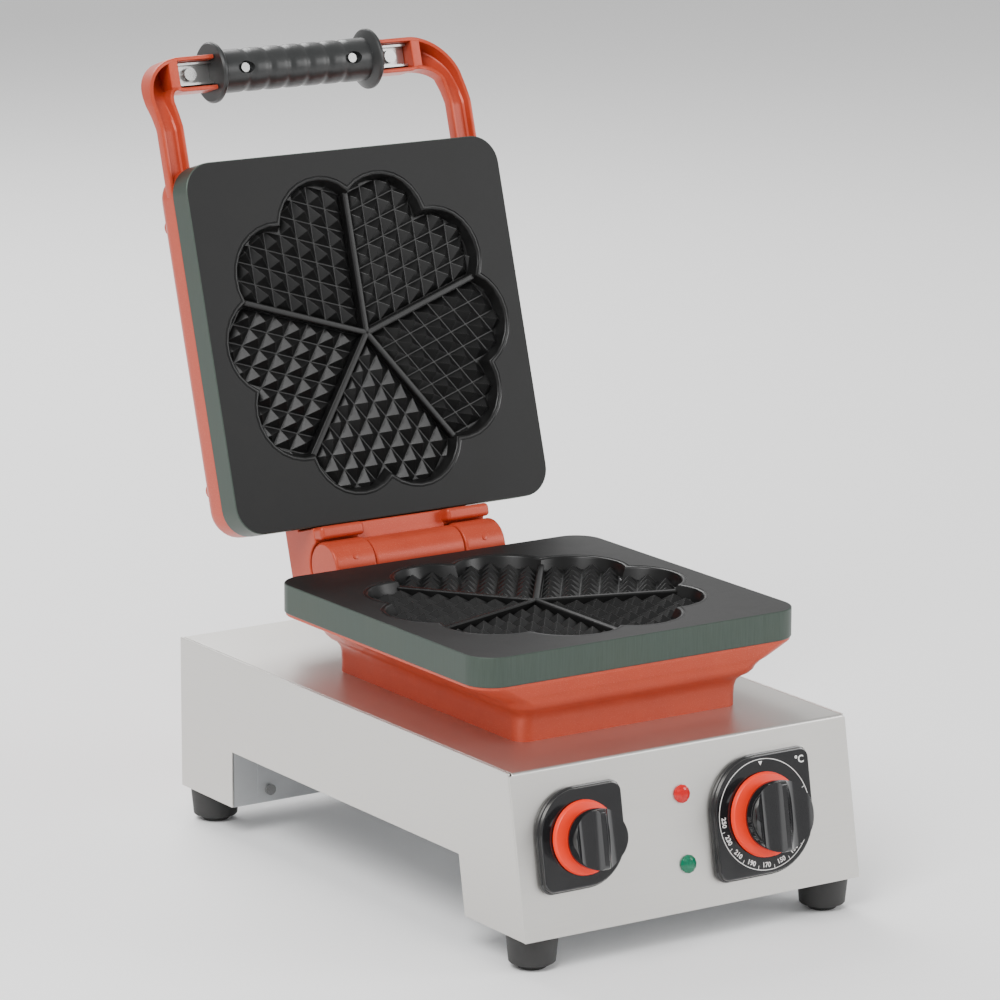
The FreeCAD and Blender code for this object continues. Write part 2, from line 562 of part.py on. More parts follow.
def sweep_band(low, high):
    """A wide bar along X between two lines in Y and Z, each a list of points."""
    return bar_x(cell("iron_w"), low + high[::-1])


def plan_ring(wall):
    """The yoke seen from above, less a wall all round: outer outline less inner outline, over all heights."""
    half, wide, turn = half_rim - wall, cell("yoke_wide") - 2 * wall, cell("yoke_corner") - wall
    front = cell("yoke_front") + wall
    side_back = cell("iron_front") + 22
    low, tall = lid_z - 30, 90
    outer = slab(half, front, side_back + 60, low, low + tall, turn)
    inner_front = cell("yoke_front") + cell("yoke_wide") + 5 - wall
    inner = slab(half - wide, inner_front, side_back + 80, low, low + tall, max(turn - wide, 3))
    ring = outer.cut(inner)
    cut_y = side_back - (wall * 8 if wall else 0)
    return ring.cut(Part.makeBox(400, 200, 200, Vector(-200, cut_y, low - 5)))


def yoke():
    """The channel-section yoke: it leaves the lid's front corners, rises and carries the handle."""
    y0, y1 = cell("yoke_front"), cell("iron_front") + 22
    rise_start, rise_end = cell("iron_front") - 32, cell("yoke_front") + 10
    steps, shallow = 8, cell("yoke_shallow")
    front, back = [], []
    for n in range(steps + 1):
        part = n / steps
        ease = (1 - math.cos(math.pi * part)) / 2
        y = rise_start + (rise_end - rise_start) * part
        front.append((y, yoke_z + cell("yoke_rise") * ease))
        back.append((y + 8, yoke_z + shallow + (cell("yoke_rise") + cell("yoke_deep") - shallow) * ease))
    front = [(y1, yoke_z)] + front + [(y0 - 1, bar_z)]
    back = [(y1, yoke_z + shallow)] + back + [(y0 - 1, bar_z + cell("yoke_deep"))]
    solid = plan_ring(0).common(sweep_band(front, back))
    floor = [(y, z - 4) for y, z in back]
    mouth = [(y, z - 20) for y, z in front]
    groove = plan_ring(cell("yoke_wall")).common(sweep_band(mouth, floor))
    for side_x in (-1, 1):
        rib = Part.makeBox(3, 30, 60, Vector(-1.5, -15, 0))
        rib_spot = Vector(side_x * (cell("core_reach") + 9.5), bar_y, lid_z - 5)
        rib.Placement = Placement(rib_spot, Rotation(Vector(0, 0, 1), side_x * 38))
        groove = groove.cut(rib)
    solid = solid.cut(groove)
    stub = cell("grip_len") / 2 + 1
    return solid.cut(Part.makeBox(2 * stub, 40, 90, Vector(-stub, y0 - 5, lid_z - 20)))


def upper_casting():
    """The lid's cast pan, its bosses, the hinge barrel with its block, and the yoke."""
    solid = slab(half_rim, rim_y0, rim_y1, lid_z, lid_back, corner)
    rear = [e for e in solid.Edges if abs(e.BoundBox.ZMin - lid_back) < 1e-6]
    solid = solid.makeFillet(cell("lid_round"), rear)
    for x, y in UPPER_SCREWS:
        solid = solid.fuse(Part.makeCone(7.5, 6.5, boss_top - lid_z - 8, Vector(x, y, lid_z + 8)))
    solid = solid.fuse(yoke())
    block_top = lid_z + cell("block_rise")
    block_end = pin_y + cell("block_reach")
    flush_z = lid_face_z + 0.4
    hinge_block = bar_x(hinge_half, [
        (rim_y1 + 1.3, flush_z), (pin_y, flush_z), (block_end, pin_z + 14), (block_end, block_top - 6),
        (block_end - 6, block_top), (rim_y1 - 14, block_top), (rim_y1 - 14, lid_z + 0.4),
        (rim_y1 + 1.3, lid_z + 0.4)])
    sweep_r = cell("knuckle_d") / 2 + cell("hinge_clear")
    hinge_block = hinge_block.cut(rod_x(sweep_r, -hinge_half - 1, hinge_half + 1, pin_y, pin_z))
    barrel = rod_x(cell("barrel_d") / 2, -barrel_half, barrel_half, pin_y, pin_z)
    web = bar_x(barrel_half, [(pin_y - 12, pin_z + 4), (pin_y + 8, pin_z + 8), (pin_y + 8, pin_z + 26),
                              (pin_y - 20, pin_z + 26), (pin_y - 20, flush_z)])
    solid = solid.fuse(hinge_block).fuse(barrel).fuse(web)
    for side_x in (-1, 1):
        start = side_x * (barrel_half - 2) if side_x > 0 else -(barrel_half + 24)
        lug = Part.makeBox(26, 7.5, 9, Vector(start, rim_y1 + 2.2, lid_face_z - 6.5))
        lug = lug.makeFillet(3, [e for e in lug.Edges if abs(e.BoundBox.ZMax - (lid_face_z - 6.5)) < 1e-6])
        solid = solid.fuse(lug)
    pan = slab(half_rim - 22, rim_y0 + 12, rim_y1 - 16, lid_z - 1, lid_back - cell("lid_wall"), corner * 0.6)
    solid = solid.cut(pan)
    for x, y in UPPER_SCREWS:
        solid = solid.cut(Part.makeCylinder(3, 60, Vector(x, y, lid_z - 1)))
        solid = solid.cut(Part.makeCylinder(5.6, 10, Vector(x, y, boss_top - 4)))
    for side_x in (-1, 1):
        spot = Vector(side_x * cell("bolt_x"), bar_y, lid_z)
        solid = solid.cut(Part.makeCylinder(2.6, 80, spot))
    return solid.cut(rod_x(cell("pin_d") / 2 + cell("running"), -80, 80, pin_y, pin_z)).removeSplitter()


keep(feature("upper_casting_shape", upper_casting()), "upper_casting", LID)
upper_set = [screw(x, y, lid_z - BITE, boss_top - 4, 5.2, 3.6) for x, y in UPPER_SCREWS]
keep(feature("upper_screw_set", Part.makeCompound(upper_set)), "upper_iron_screws", LID)


# ------------------------------------------------------------------------------- heating, both halves
def heater(z, down):
    """A round tubular element with two cold ends that leave it at right angles."""
    ring = Part.makeTorus(cell("loop_r"), cell("tube_d") / 2, Vector(0, iron_mid_y, z))
    lead_r = cell("tube_d") / 2 - 1
    reach = math.sqrt(cell("loop_r") ** 2 - cell("lead_x") ** 2)
    for side_x in (-1, 1):
        spot = Vector(side_x * cell("lead_x"), iron_mid_y, z)
        leg = Part.makeCylinder(lead_r, reach, spot, Vector(0, -1, 0))
        end = Part.makeCylinder(lead_r, 14, spot, Vector(0, 0, down))
        ring = ring.fuse(leg.fuse(end))
    return ring


def mat(half, z0, thick, keep_out):
    """A flat layer in a casting's pan with a round window for the leads."""
    length = cell("loop_r") + 14
    layer = slab(half, iron_mid_y - length, iron_mid_y + length, z0, z0 + thick, 10)
    return layer.cut(Part.makeCylinder(keep_out, thick + 2, Vector(0, iron_mid_y, z0 - 1)))


window = 14
layer_half = min(belly - 2 * cell("wall") - 2, screw_x - 7)
loop = cell("tube_d")
keep(feature("lower_heater_shape", heater(iron_z - loop / 2, -1)), "lower_heating_element", BODY)
clamp_z = iron_z - loop - cell("clamp")
lower_clamp = mat(layer_half + 2, clamp_z, cell("clamp"), window)
keep(feature("lower_clamp_shape", lower_clamp), "lower_clamp_plate", BODY)
keep(feature("lower_wool_shape", mat(layer_half, clamp_z - cell("wool"), cell("wool"), window)),
     "lower_insulation", BODY)
keep(feature("upper_heater_shape", heater(lid_z + loop / 2, 1)), "upper_heating_element", LID)
clamp_z = lid_z + loop
upper_clamp = mat(layer_half + 2, clamp_z, cell("clamp"), window)
keep(feature("upper_clamp_shape", upper_clamp), "upper_clamp_plate", LID)
upper_wool = lid_back - cell("lid_wall") - clamp_z - cell("clamp")
keep(feature("upper_wool_shape", mat(layer_half, clamp_z + cell("clamp"), upper_wool, window)),
     "upper_insulation", LID)
bulb = rod_x(cell("bulb_d") / 2, -45, 45, iron_mid_y + 30, iron_z - cell("bulb_d") / 2)
keep(feature("bulb_shape", bulb), "thermostat_bulb", BODY)

# --------------------------------------------------------------------------------------------- handle
length = cell("grip_len") / 2
grip_r, flange_r = cell("grip_d") / 2, cell("grip_flange_d") / 2


def core_block(reach, extra):
    """The room that the handle's steel core takes, grown by a clearance."""
    high, deep = cell("core_high") + 2 * extra, cell("core_deep") + 2 * extra
    return Part.makeBox(2 * reach, high, deep, Vector(-reach, bar_y - high / 2, grip_z - 3.5 - extra))


grip = turned("handle_grip_turn", [("0", "0 - grip_len/2"), ("grip_flange_d/2 - 1", "0 - grip_len/2"),
                                   ("grip_flange_d/2", "1 - grip_len/2"),
                                   ("grip_flange_d/2", "grip_flange - grip_len/2"),
                                   ("grip_d/2", "grip_flange + 2 - grip_len/2"),
                                   ("grip_d/2", "grip_len/2 - grip_flange - 2"),
                                   ("grip_flange_d/2", "grip_len/2 - grip_flange"),
                                   ("grip_flange_d/2", "grip_len/2 - 1"),
                                   ("grip_flange_d/2 - 1", "grip_len/2"), ("0", "grip_len/2")], None)
doc.recompute()
grip.Placement = Placement(Vector(0, bar_y, grip_z), ACROSS)
core_room = feature("core_room", core_block(length + 5, cell("core_fit")))
SCREW_X = 43
recess = []
for side_x in (-1, 1):
    mouth = Part.makeCylinder(3.6, 6, Vector(side_x * SCREW_X, bar_y, grip_z - grip_r - 2))
    hole = Part.makeCylinder(1.6, 12, Vector(side_x * SCREW_X, bar_y, grip_z - grip_r))
    recess += [feature(f"grip_mouth_{side_x + 1}", mouth), feature(f"grip_hole_{side_x + 1}", hole)]
keep(without("handle_grip_cut", grip, [core_room] + recess), "handle_grip", LID)
core = core_block(cell("core_reach"), 0)
steel = cell("core_steel")
groove = Part.makeBox(2 * cell("core_reach") + 2, cell("core_high") - 2 * steel, cell("core_deep"),
                      Vector(-cell("core_reach") - 1, bar_y - cell("core_high") / 2 + steel,
                             grip_z - 3.5 - steel))
core = core.cut(groove)
for side_x in (-1, 1):
    core = core.cut(Part.makeCylinder(2.6, 40, Vector(side_x * cell("bolt_x"), bar_y, grip_z - 20)))
    core = core.cut(Part.makeCylinder(1.6, 40, Vector(side_x * SCREW_X, bar_y, grip_z - 20)))
keep(feature("handle_core_shape", core), "handle_core", LID)
web_front = grip_z - 3.5 + cell("core_deep") - steel
stub_back = bar_z + cell("yoke_deep")
bolt_set, nut_set, spacer_set, grip_set = [], [], [], []
for side_x in (-1, 1):
    at = side_x * cell("bolt_x")
    shank = Part.makeCylinder(2.6, stub_back + 5 - web_front, Vector(at, bar_y, web_front))
    head = Part.makeCylinder(4.6, 3.2, Vector(at, bar_y, web_front - 3.2))
    bolt_set.append(shank.fuse(head))
    nut = Part.makeCylinder(5, 4, Vector(at, bar_y, stub_back))
    nut_set.append(nut.cut(Part.makeCylinder(2.6, 6, Vector(at, bar_y, stub_back - 1))))
    gap_z = web_front + steel
    spacer = Part.makeCylinder(5, stub_back - 4 - gap_z, Vector(at, bar_y, gap_z))
    spacer_set.append(spacer.cut(Part.makeCylinder(2.6, 30, Vector(at, bar_y, gap_z - 1))))
    at = side_x * SCREW_X
    seat_z = grip_z - grip_r + 4
    pan_head = Part.makeCylinder(3.2, 2, Vector(at, bar_y, seat_z - 2))
    pan_shank = Part.makeCylinder(1.6, web_front + steel - seat_z, Vector(at, bar_y, seat_z))
    grip_set.append(pan_head.fuse(pan_shank))
keep(feature("handle_bolt_set", Part.makeCompound(bolt_set)), "handle_bolts", LID)
keep(feature("handle_nut_set", Part.makeCompound(nut_set)), "handle_nuts", LID)
keep(feature("handle_spacer_set", Part.makeCompound(spacer_set)), "handle_spacers", LID)
keep(feature("grip_screw_set", Part.makeCompound(grip_set)), "grip_screws", LID)

# ---------------------------------------------------------------------------------------------- hinge
keep(feature("hinge_pin_shape", rod_x(cell("pin_d") / 2, -hinge_half + 1, hinge_half - 1, pin_y, pin_z)),
     "hinge_pin", BODY)
grubs = []
for side_x in (-1, 1):
    spot = Vector(side_x * (hinge_half + barrel_half) / 2, pin_y, pin_z)
    way = Vector(0, -1, 0.25).normalize()
    long_one = Part.makeCylinder(2, cell("knuckle_d") / 2 - 0.6, spot, way)
    grubs.append(long_one.cut(rod_x(cell("pin_d") / 2, -hinge_half, hinge_half, pin_y, pin_z)))
keep(feature("grub_screw_set", Part.makeCompound(grubs)), "hinge_grub_screws", BODY)

# --------------------------------------------------------------------------------------------- export
doc.recompute()
for obj in doc.Objects:
    if "Invalid" in obj.State or "Error" in obj.State:
        raise RuntimeError(f"{obj.Label} failed: {obj.State}")
for label, obj in pieces.items():
    if obj.Shape.isNull() or not obj.Shape.isValid() or not obj.Shape.Solids:
        raise RuntimeError(f"{label} has no valid solid")
os.makedirs("parts", exist_ok=True)
for label, obj in pieces.items():
    obj.Shape.exportStep(f"parts/{label}.step")
    box = obj.Shape.BoundBox
    print(f"{label:24s} solids {len(obj.Shape.Solids)}  x {box.XMin:7.1f} {box.XMax:7.1f}  "
          f"y {box.YMin:7.1f} {box.YMax:7.1f}  z {box.ZMin:7.1f} {box.ZMax:7.1f}")
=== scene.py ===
# %% [markdown]
# A heart-waffle baker, built up piece by piece around its working frame. The frame brings the measured
# parts: where the irons lie, where the hinge pin runs, how far the lid opens. The cells below give each
# visible piece the shape and the finish that a maker would give it. All drawing is in millimetres, in the
# place a piece has when the lid is shut, and one helper turns a drawing into a finished piece.

# %% Load the frame
import json
import math
import bmesh
import bpy
from mathutils import Matrix, Vector

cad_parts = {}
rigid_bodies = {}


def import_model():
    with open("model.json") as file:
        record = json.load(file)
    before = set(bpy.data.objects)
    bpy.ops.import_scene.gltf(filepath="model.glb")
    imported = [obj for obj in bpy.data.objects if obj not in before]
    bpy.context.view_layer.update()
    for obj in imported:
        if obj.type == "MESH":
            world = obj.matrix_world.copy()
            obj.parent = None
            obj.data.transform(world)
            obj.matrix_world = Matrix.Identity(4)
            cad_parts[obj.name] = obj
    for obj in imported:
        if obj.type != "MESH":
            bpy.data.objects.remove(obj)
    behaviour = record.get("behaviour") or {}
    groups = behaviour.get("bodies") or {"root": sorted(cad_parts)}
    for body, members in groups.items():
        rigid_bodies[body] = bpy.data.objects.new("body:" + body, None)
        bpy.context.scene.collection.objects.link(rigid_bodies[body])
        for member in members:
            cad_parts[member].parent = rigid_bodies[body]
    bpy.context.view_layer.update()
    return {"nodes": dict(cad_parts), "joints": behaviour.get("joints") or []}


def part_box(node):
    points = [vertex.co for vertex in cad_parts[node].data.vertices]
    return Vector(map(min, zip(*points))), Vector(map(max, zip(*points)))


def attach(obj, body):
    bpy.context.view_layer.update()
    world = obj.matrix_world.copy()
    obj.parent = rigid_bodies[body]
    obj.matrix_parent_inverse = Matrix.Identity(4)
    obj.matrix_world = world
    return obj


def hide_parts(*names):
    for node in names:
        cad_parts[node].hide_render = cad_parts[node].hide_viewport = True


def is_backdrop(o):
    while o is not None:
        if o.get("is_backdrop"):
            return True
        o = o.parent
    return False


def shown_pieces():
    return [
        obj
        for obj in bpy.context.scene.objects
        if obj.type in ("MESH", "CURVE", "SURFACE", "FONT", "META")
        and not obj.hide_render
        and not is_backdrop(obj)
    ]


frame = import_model()
joints = {joint["name"]: joint for joint in frame["joints"]}
MM = 1000.0


# %% [markdown]
# Every place comes from the frame. The body's sheets give the width, the depth and the height of the legs,
# the hinge joint gives the pin and the opening angle, and the switch's axis gives the lean of the panel.

# %% Read the driving sizes, in millimetres
def box(node):
    low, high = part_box(node)
    return low * MM, high * MM


shell_low, shell_high = box("housing_shell")
half_body = box("side_panel_right")[1].x
home_y, foot_h, top_z = shell_low.y, shell_low.z, shell_high.z
body_d, body_h = shell_high.y - home_y, top_z - foot_h
panel_out = Vector(joints["switch_turn"]["axis"])
lean = math.asin(panel_out.z)
pin = Vector(joints["lid_hinge"]["pos_m"]) * MM
pin_y, pin_z = pin.y - home_y, pin.z
lid_open = math.radians(joints["lid_hinge"]["range_deg"][1])
iron_low, iron_high = box("lower_iron")
iron_half, iron_z, face_z = iron_high.x, iron_low.z, iron_high.z
iron_y0, iron_y1 = iron_low.y - home_y, iron_high.y - home_y
iron_mid = (iron_y0 + iron_y1) / 2
iron_thick = face_z - iron_z
parting = 0.6
lid_face = face_z + parting
lid_z = lid_face + iron_thick
print(f"body {2 * half_body:.0f} x {body_d:.0f} mm, irons {2 * iron_half:.0f} mm")
print(f"lid opens {math.degrees(lid_open):.1f} degrees")

# %% [markdown]
# Three poses carry a drawing to its place. The body's drawings only move back, the lid's are also turned
# open about the pin, and those of the panel are laid on its leaning face, with Z pointing at the user.

# %% The three poses
BODY = Matrix.Translation((0, home_y, 0))
OPENED = Matrix.Translation((0, pin_y, pin_z)) @ Matrix.Rotation(-lid_open, 4, "X")
LID = BODY @ OPENED @ Matrix.Translation((0, -pin_y, -pin_z))
PANEL = BODY @ Matrix.Translation((0, 0, foot_h)) @ Matrix.Rotation(math.pi / 2 - lean, 4, "X")


def on_panel(joint):
    """The pose of a control on the panel, from the axis its joint turns about."""
    centre = Vector(joints[joint]["pos_m"]) * MM
    return Matrix.Translation(centre) @ Matrix.Rotation(math.pi / 2 - lean, 4, "X")


SWITCH, THERMOSTAT = on_panel("switch_turn"), on_panel("thermostat_turn")
print("panel leans", round(math.degrees(lean), 2), "degrees")


# %% [markdown]
# Finishes first. A small class wraps one socket of a material's nodes. Sums on such wires add Math nodes,
# so a pattern reads like arithmetic, and every other node comes from one method. What is the same all over
# a surface is set on the shader's own socket; only what changes is wired.

# %% A wire that can be added, scaled and passed to nodes
class Wire:
    """An output socket. Operators on it add Math nodes, and node() adds any other kind."""

    def __init__(self, socket):
        self.socket = socket

    def node(self, kind, settings=None, inputs=None, out=0):
        """Adds a node: its settings are set first, then its inputs are given values or links."""
        tree = self.socket.id_data
        new = tree.nodes.new(kind)
        for name, value in (settings or {}).items():
            if name == "stops":
                for element, (place, colour) in zip(new.color_ramp.elements, value):
                    element.position, element.color = place, colour
            else:
                setattr(new, name, value)
        for name, value in (inputs or {}).items():
            if isinstance(value, Wire):
                tree.links.new(value.socket, new.inputs[name])
            else:
                new.inputs[name].default_value = value
        return Wire(new.outputs[out])

    def maths(self, operation, first, second):
        return self.node("ShaderNodeMath", {"operation": operation}, {0: first, 1: second})

    def __add__(self, other):
        return self.maths("ADD", self, other)

    def __radd__(self, other):
        return self.maths("ADD", other, self)

    def __mul__(self, other):
        return self.maths("MULTIPLY", self, other)


print("wires ready")


# %% [markdown]
# Each finish starts from the piece's own coordinates, in metres. Noise drawn along one axis gives grain
# and machining lines, plain noise gives casting skin and dust, and a ramp turns either into a mask.

# %% Helpers for patterns
def start(name, **constants):
    """A new material: constants go on the shader, and the wire carries object coordinates."""
    finish = bpy.data.materials.new(name)
    finish.use_nodes = True
    shader = finish.node_tree.nodes["Principled BSDF"]
    for socket, value in constants.items():
        shader.inputs[socket.replace("_", " ")].default_value = value
    coordinates = finish.node_tree.nodes.new("ShaderNodeTexCoord")
    return finish, Wire(coordinates.outputs["Object"]), shader


def wire_up(shader, **inputs):
    """Links wires to the shader's sockets."""
    for socket, wire in inputs.items():
        shader.id_data.links.new(wire.socket, shader.inputs[socket.replace("_", " ")])


def drawn(here, scale):
    """Coordinates stretched by a different amount along each axis."""
    return here.node("ShaderNodeMapping", {}, {"Vector": here, "Scale": scale})


def noise(here, scale, detail=3.0, roughness=0.55):
    """Plain noise, its scale in cycles to the metre."""
    return here.node("ShaderNodeTexNoise", {}, {"Vector": here, "Scale": scale, "Detail": detail,
                                                "Roughness": roughness})


def mask(value, low, high):
    """A value spread from 0 at low to 1 at high."""
    stops = [(low, (0, 0, 0, 1)), (high, (1, 1, 1, 1))]
    return value.node("ShaderNodeValToRGB", {"stops": stops}, {0: value})


def tint(factor, first, second):
    """One colour passing into another."""
    inputs = {0: factor, 6: first, 7: second}
    return factor.node("ShaderNodeMix", {"data_type": "RGBA"}, inputs, out=2)


def bump(height, depth_mm, strength=1.0, over=None):
    """A Bump node whose full height is given in millimetres."""
    inputs = {"Height": height, "Distance": depth_mm / MM, "Strength": strength}
    if over:
        inputs["Normal"] = over
    return height.node("ShaderNodeBump", {}, inputs)


print("pattern helpers ready")


# %% [markdown]
# Stainless sheet is brushed before it is folded. Its grain is a noise drawn very long along the fold
# direction; it shifts the roughness and the colour a little and cuts a shallow scratch pattern.

# %% Sheet finishes
def sheet_finish(name, grain, colour, rough, blotch=0.06):
    finish, here, shader = start(name, Metallic=1.0)
    fine = noise(drawn(here, grain), 1.0, 4.0, 0.7)
    broad = noise(here, 9.0, 2.0)
    dark = tuple(channel * 0.86 for channel in colour[:3]) + (1.0,)
    shade = fine * 0.6 + broad * 0.4
    wire_up(shader, Base_Color=tint(shade, dark, colour),
            Roughness=rough - 0.05 + fine * 0.1 + broad * blotch,
            Normal=bump(fine, 0.012, 0.35))
    return finish


STEEL = (0.69, 0.675, 0.645, 1)
brushed_side = sheet_finish("brushed_along_y", (1500, 14, 1500), STEEL, 0.34)
brushed_panel = sheet_finish("brushed_along_x", (14, 1500, 1500), STEEL, 0.36)
galvanised = sheet_finish("galvanised_sheet", (160, 160, 160), (0.56, 0.57, 0.58, 1), 0.42, 0.16)
bright = sheet_finish("bright_plated", (900, 900, 900), (0.36, 0.36, 0.355, 1), 0.24)
plated = sheet_finish("plated_channel", (1400, 60, 60), (0.52, 0.52, 0.51, 1), 0.3)
heat_worn = sheet_finish("heat_darkened_tube", (300, 300, 300), (0.34, 0.30, 0.26, 1), 0.4, 0.2)
print("sheet finishes:", len(bpy.data.materials))


# %% [markdown]
# The castings are sprayed with a satin red-orange enamel with a little metal in it. Sand-cast skin shows
# through as soft waves, the spray as a finer orange peel, and the paint thins to a paler tone in places.
# Tiny pale pink flecks painted into the colour stand in for the metal's sheen: they are painted highlights.

# %% Enamel and the iron's finishes
def enamel_finish():
    finish, here, shader = start("red_enamel", Metallic=0.15, Coat_Weight=0.15, Coat_Roughness=0.25,
                                 Specular_IOR_Level=0.28)
    cast = noise(here, 55.0, 3.0)
    peel = noise(here, 900.0, 2.0)
    # Tiny flecks of painted highlight, standing in for the metallic sheen; they also add a little roughness.
    painted_sheen_flecks = mask(noise(here, 2600.0, 1.0), 0.62, 0.72)
    body = tint(cast, (0.40, 0.040, 0.015, 1), (0.50, 0.060, 0.024, 1))
    # The flecks lift the colour toward pale pink: painted sheen, not the paint's own colour.
    wire_up(shader, Base_Color=tint(painted_sheen_flecks * 0.35, body, (0.85, 0.30, 0.18, 1)),
            Roughness=0.33 + cast * 0.12 + painted_sheen_flecks * 0.05,
            Normal=bump(peel, 0.03, 0.5, bump(cast, 0.12, 0.5)))
    return finish


def coat_finish(name, rough, grain_mm, tone=0.008):
    """Non-stick coating: near black, finely pebbled, with slightly greyer worn patches."""
    finish, here, shader = start(name, Specular_IOR_Level=0.28)
    pebble = noise(here, 1500.0, 2.0)
    worn = mask(noise(here, 38.0, 4.0), 0.45, 0.75)
    wire_up(shader, Base_Color=tint(worn, (tone, tone, tone, 1), (tone * 1.5, tone * 1.5, tone * 1.45, 1)),
            Roughness=rough + worn * 0.06 + pebble * 0.08, Normal=bump(pebble, grain_mm, 0.6))
    return finish


def flank_finish():
    """The iron's ground flanks: grey-green scale with upright machining marks."""
    finish, here, shader = start("ground_iron_flank", Metallic=0.45, Specular_IOR_Level=0.4)
    marks = noise(drawn(here, (1300, 1300, 60)), 1.0, 4.0, 0.65)
    patch = noise(here, 22.0, 3.0)
    cool = tint(patch, (0.026, 0.042, 0.036, 1), (0.040, 0.050, 0.033, 1))
    wire_up(shader, Base_Color=tint(marks * 0.8, cool, (0.075, 0.10, 0.088, 1)),
            Roughness=0.36 + marks * 0.2, Normal=bump(marks, 0.05, 0.5))
    return finish


red_enamel = enamel_finish()
iron_face = coat_finish("nonstick_face", 0.46, 0.02)
iron_mould = coat_finish("nonstick_mould", 0.27, 0.015, 0.006)
iron_flank = flank_finish()
print("casting and iron finishes ready")


# %% [markdown]
# The mouldings are gloss black with faint handling haze, the grip is a duller bakelite with flow marks,
# the feet are dusty rubber, and the rings under the knobs are a strong orange-red. The lamps are clear
# moulded caps, bright at their facets. White ink prints the dial.

# %% Moulded finishes
def moulded(name, low, high, rough, haze_mm=0.004, scale=60.0, **constants):
    finish, here, shader = start(name, **constants)
    haze = noise(here, scale, 4.0, 0.6)
    fine = noise(here, 1400.0, 2.0)
    wire_up(shader, Base_Color=tint(haze, low, high), Roughness=rough + haze * 0.12,
            Normal=bump(fine, haze_mm, 0.6))
    return finish


gloss_black = moulded("gloss_black", (0.006, 0.006, 0.007, 1), (0.011, 0.011, 0.012, 1), 0.02,
                      Coat_Weight=0.5, Coat_Roughness=0.06)
bakelite = moulded("black_bakelite", (0.012, 0.013, 0.013, 1), (0.024, 0.025, 0.025, 1), 0.3, 0.02)
rubber = moulded("black_rubber", (0.010, 0.010, 0.010, 1), (0.030, 0.029, 0.028, 1), 0.55, 0.05, 90.0)
black_moulding = moulded("black_moulding", (0.012, 0.012, 0.012, 1), (0.025, 0.025, 0.026, 1), 0.4, 0.02)
orange_ring = moulded("orange_ring", (0.92, 0.028, 0.006, 1), (1.0, 0.042, 0.010, 1), 0.28,
                      Specular_IOR_Level=0.3)
white_ink = moulded("white_ink", (0.78, 0.78, 0.76, 1), (0.86, 0.86, 0.84, 1), 0.45)
wool = moulded("mineral_wool", (0.62, 0.58, 0.48, 1), (0.80, 0.77, 0.68, 1), 0.85, 0.6, 400.0)
red_lens = moulded("red_lens", (0.30, 0.0, 0.001, 1), (0.75, 0.004, 0.006, 1), 0.03, 0.02, 700.0,
                   Specular_IOR_Level=0.5)
green_lens = moulded("green_lens", (0.0, 0.05, 0.025, 1), (0.0, 0.22, 0.11, 1), 0.03, 0.02, 700.0,
                     Specular_IOR_Level=0.5)
print("finishes in all:", len(bpy.data.materials))


# %% [markdown]
# Now the drawing tools. A loft joins a stack of closed loops; it makes castings, folded edges and bars.
# A lathe spins a profile about Z; it makes every round piece. A bar is an outline given a length along X.
# place() copies a drawing into a bigger one.

# %% Drawing tools
def closed_loop(bm, points):
    """A closed line of edges through some points."""
    verts = [bm.verts.new(point) for point in points]
    return [bm.edges.new((verts[n - 1], verts[n])) for n in range(len(verts))]


def loft(rings):
    """A skin over a stack of loops of the same count, closed at both ends."""
    bm = bmesh.new()
    loops = [closed_loop(bm, ring) for ring in rings]
    for low, high in zip(loops, loops[1:]):
        bmesh.ops.bridge_loops(bm, edges=low + high)
    for end in (loops[0], loops[-1]):
        bmesh.ops.contextual_create(bm, geom=end)
    bmesh.ops.recalc_face_normals(bm, faces=bm.faces)
    return bm


def lathe(profile, steps=64, closed=False):
    """A profile of radius and height spun about Z."""
    bm = bmesh.new()
    verts = [bm.verts.new((radius, 0, height)) for radius, height in profile]
    edges = [bm.edges.new(pair) for pair in zip(verts, verts[1:])]
    if closed:
        edges.append(bm.edges.new((verts[-1], verts[0])))
    bmesh.ops.spin(bm, geom=verts + edges, axis=(0, 0, 1), cent=(0, 0, 0), angle=2 * math.pi, steps=steps,
                   use_merge=True)
    bmesh.ops.remove_doubles(bm, verts=bm.verts, dist=1e-4)
    bmesh.ops.recalc_face_normals(bm, faces=bm.faces)
    return bm


def block(x0, x1, y0, y1, z0, z1, round_off=0.0, segments=2):
    """A box between two corners with rounded edges."""
    bm = bmesh.new()
    bmesh.ops.create_cube(bm, size=1.0)
    size = Matrix.Diagonal((x1 - x0, y1 - y0, z1 - z0, 1))
    bm.transform(Matrix.Translation(((x0 + x1) / 2, (y0 + y1) / 2, (z0 + z1) / 2)) @ size)
    if round_off:
        bmesh.ops.bevel(bm, geom=bm.edges[:], offset=round_off, segments=segments, profile=0.5,
                        affect="EDGES", material=-1)
    return bm


def shift(bm, grown, along_x):
    """Moves the points of what was just extruded along X."""
    points = [element for element in grown if isinstance(element, bmesh.types.BMVert)]
    bmesh.ops.translate(bm, verts=points, vec=(along_x, 0, 0))


def bar(x0, x1, points, round_off=0.0, segments=3):
    """An outline in Y and Z given a length along X and rounded edges."""
    bm = bmesh.new()
    closed_loop(bm, [(x0, y, z) for y, z in points])
    bmesh.ops.contextual_create(bm, geom=bm.edges[:])
    shift(bm, bmesh.ops.extrude_face_region(bm, geom=bm.faces[:])["geom"], x1 - x0)
    bmesh.ops.recalc_face_normals(bm, faces=bm.faces)
    if round_off:
        edges = [edge for edge in bm.edges if edge.calc_face_angle(0) > math.radians(30)]
        bmesh.ops.bevel(bm, geom=edges, offset=round_off, segments=segments, profile=0.5, affect="EDGES",
                        clamp_overlap=True, material=-1)
    return bm


def arc(cy, cz, radius, start_deg, end_deg, steps=10):
    """Points on an arc in Y and Z."""
    turns = [math.radians(start_deg + (end_deg - start_deg) * n / steps) for n in range(steps + 1)]
    return [(cy + radius * math.cos(turn), cz + radius * math.sin(turn)) for turn in turns]


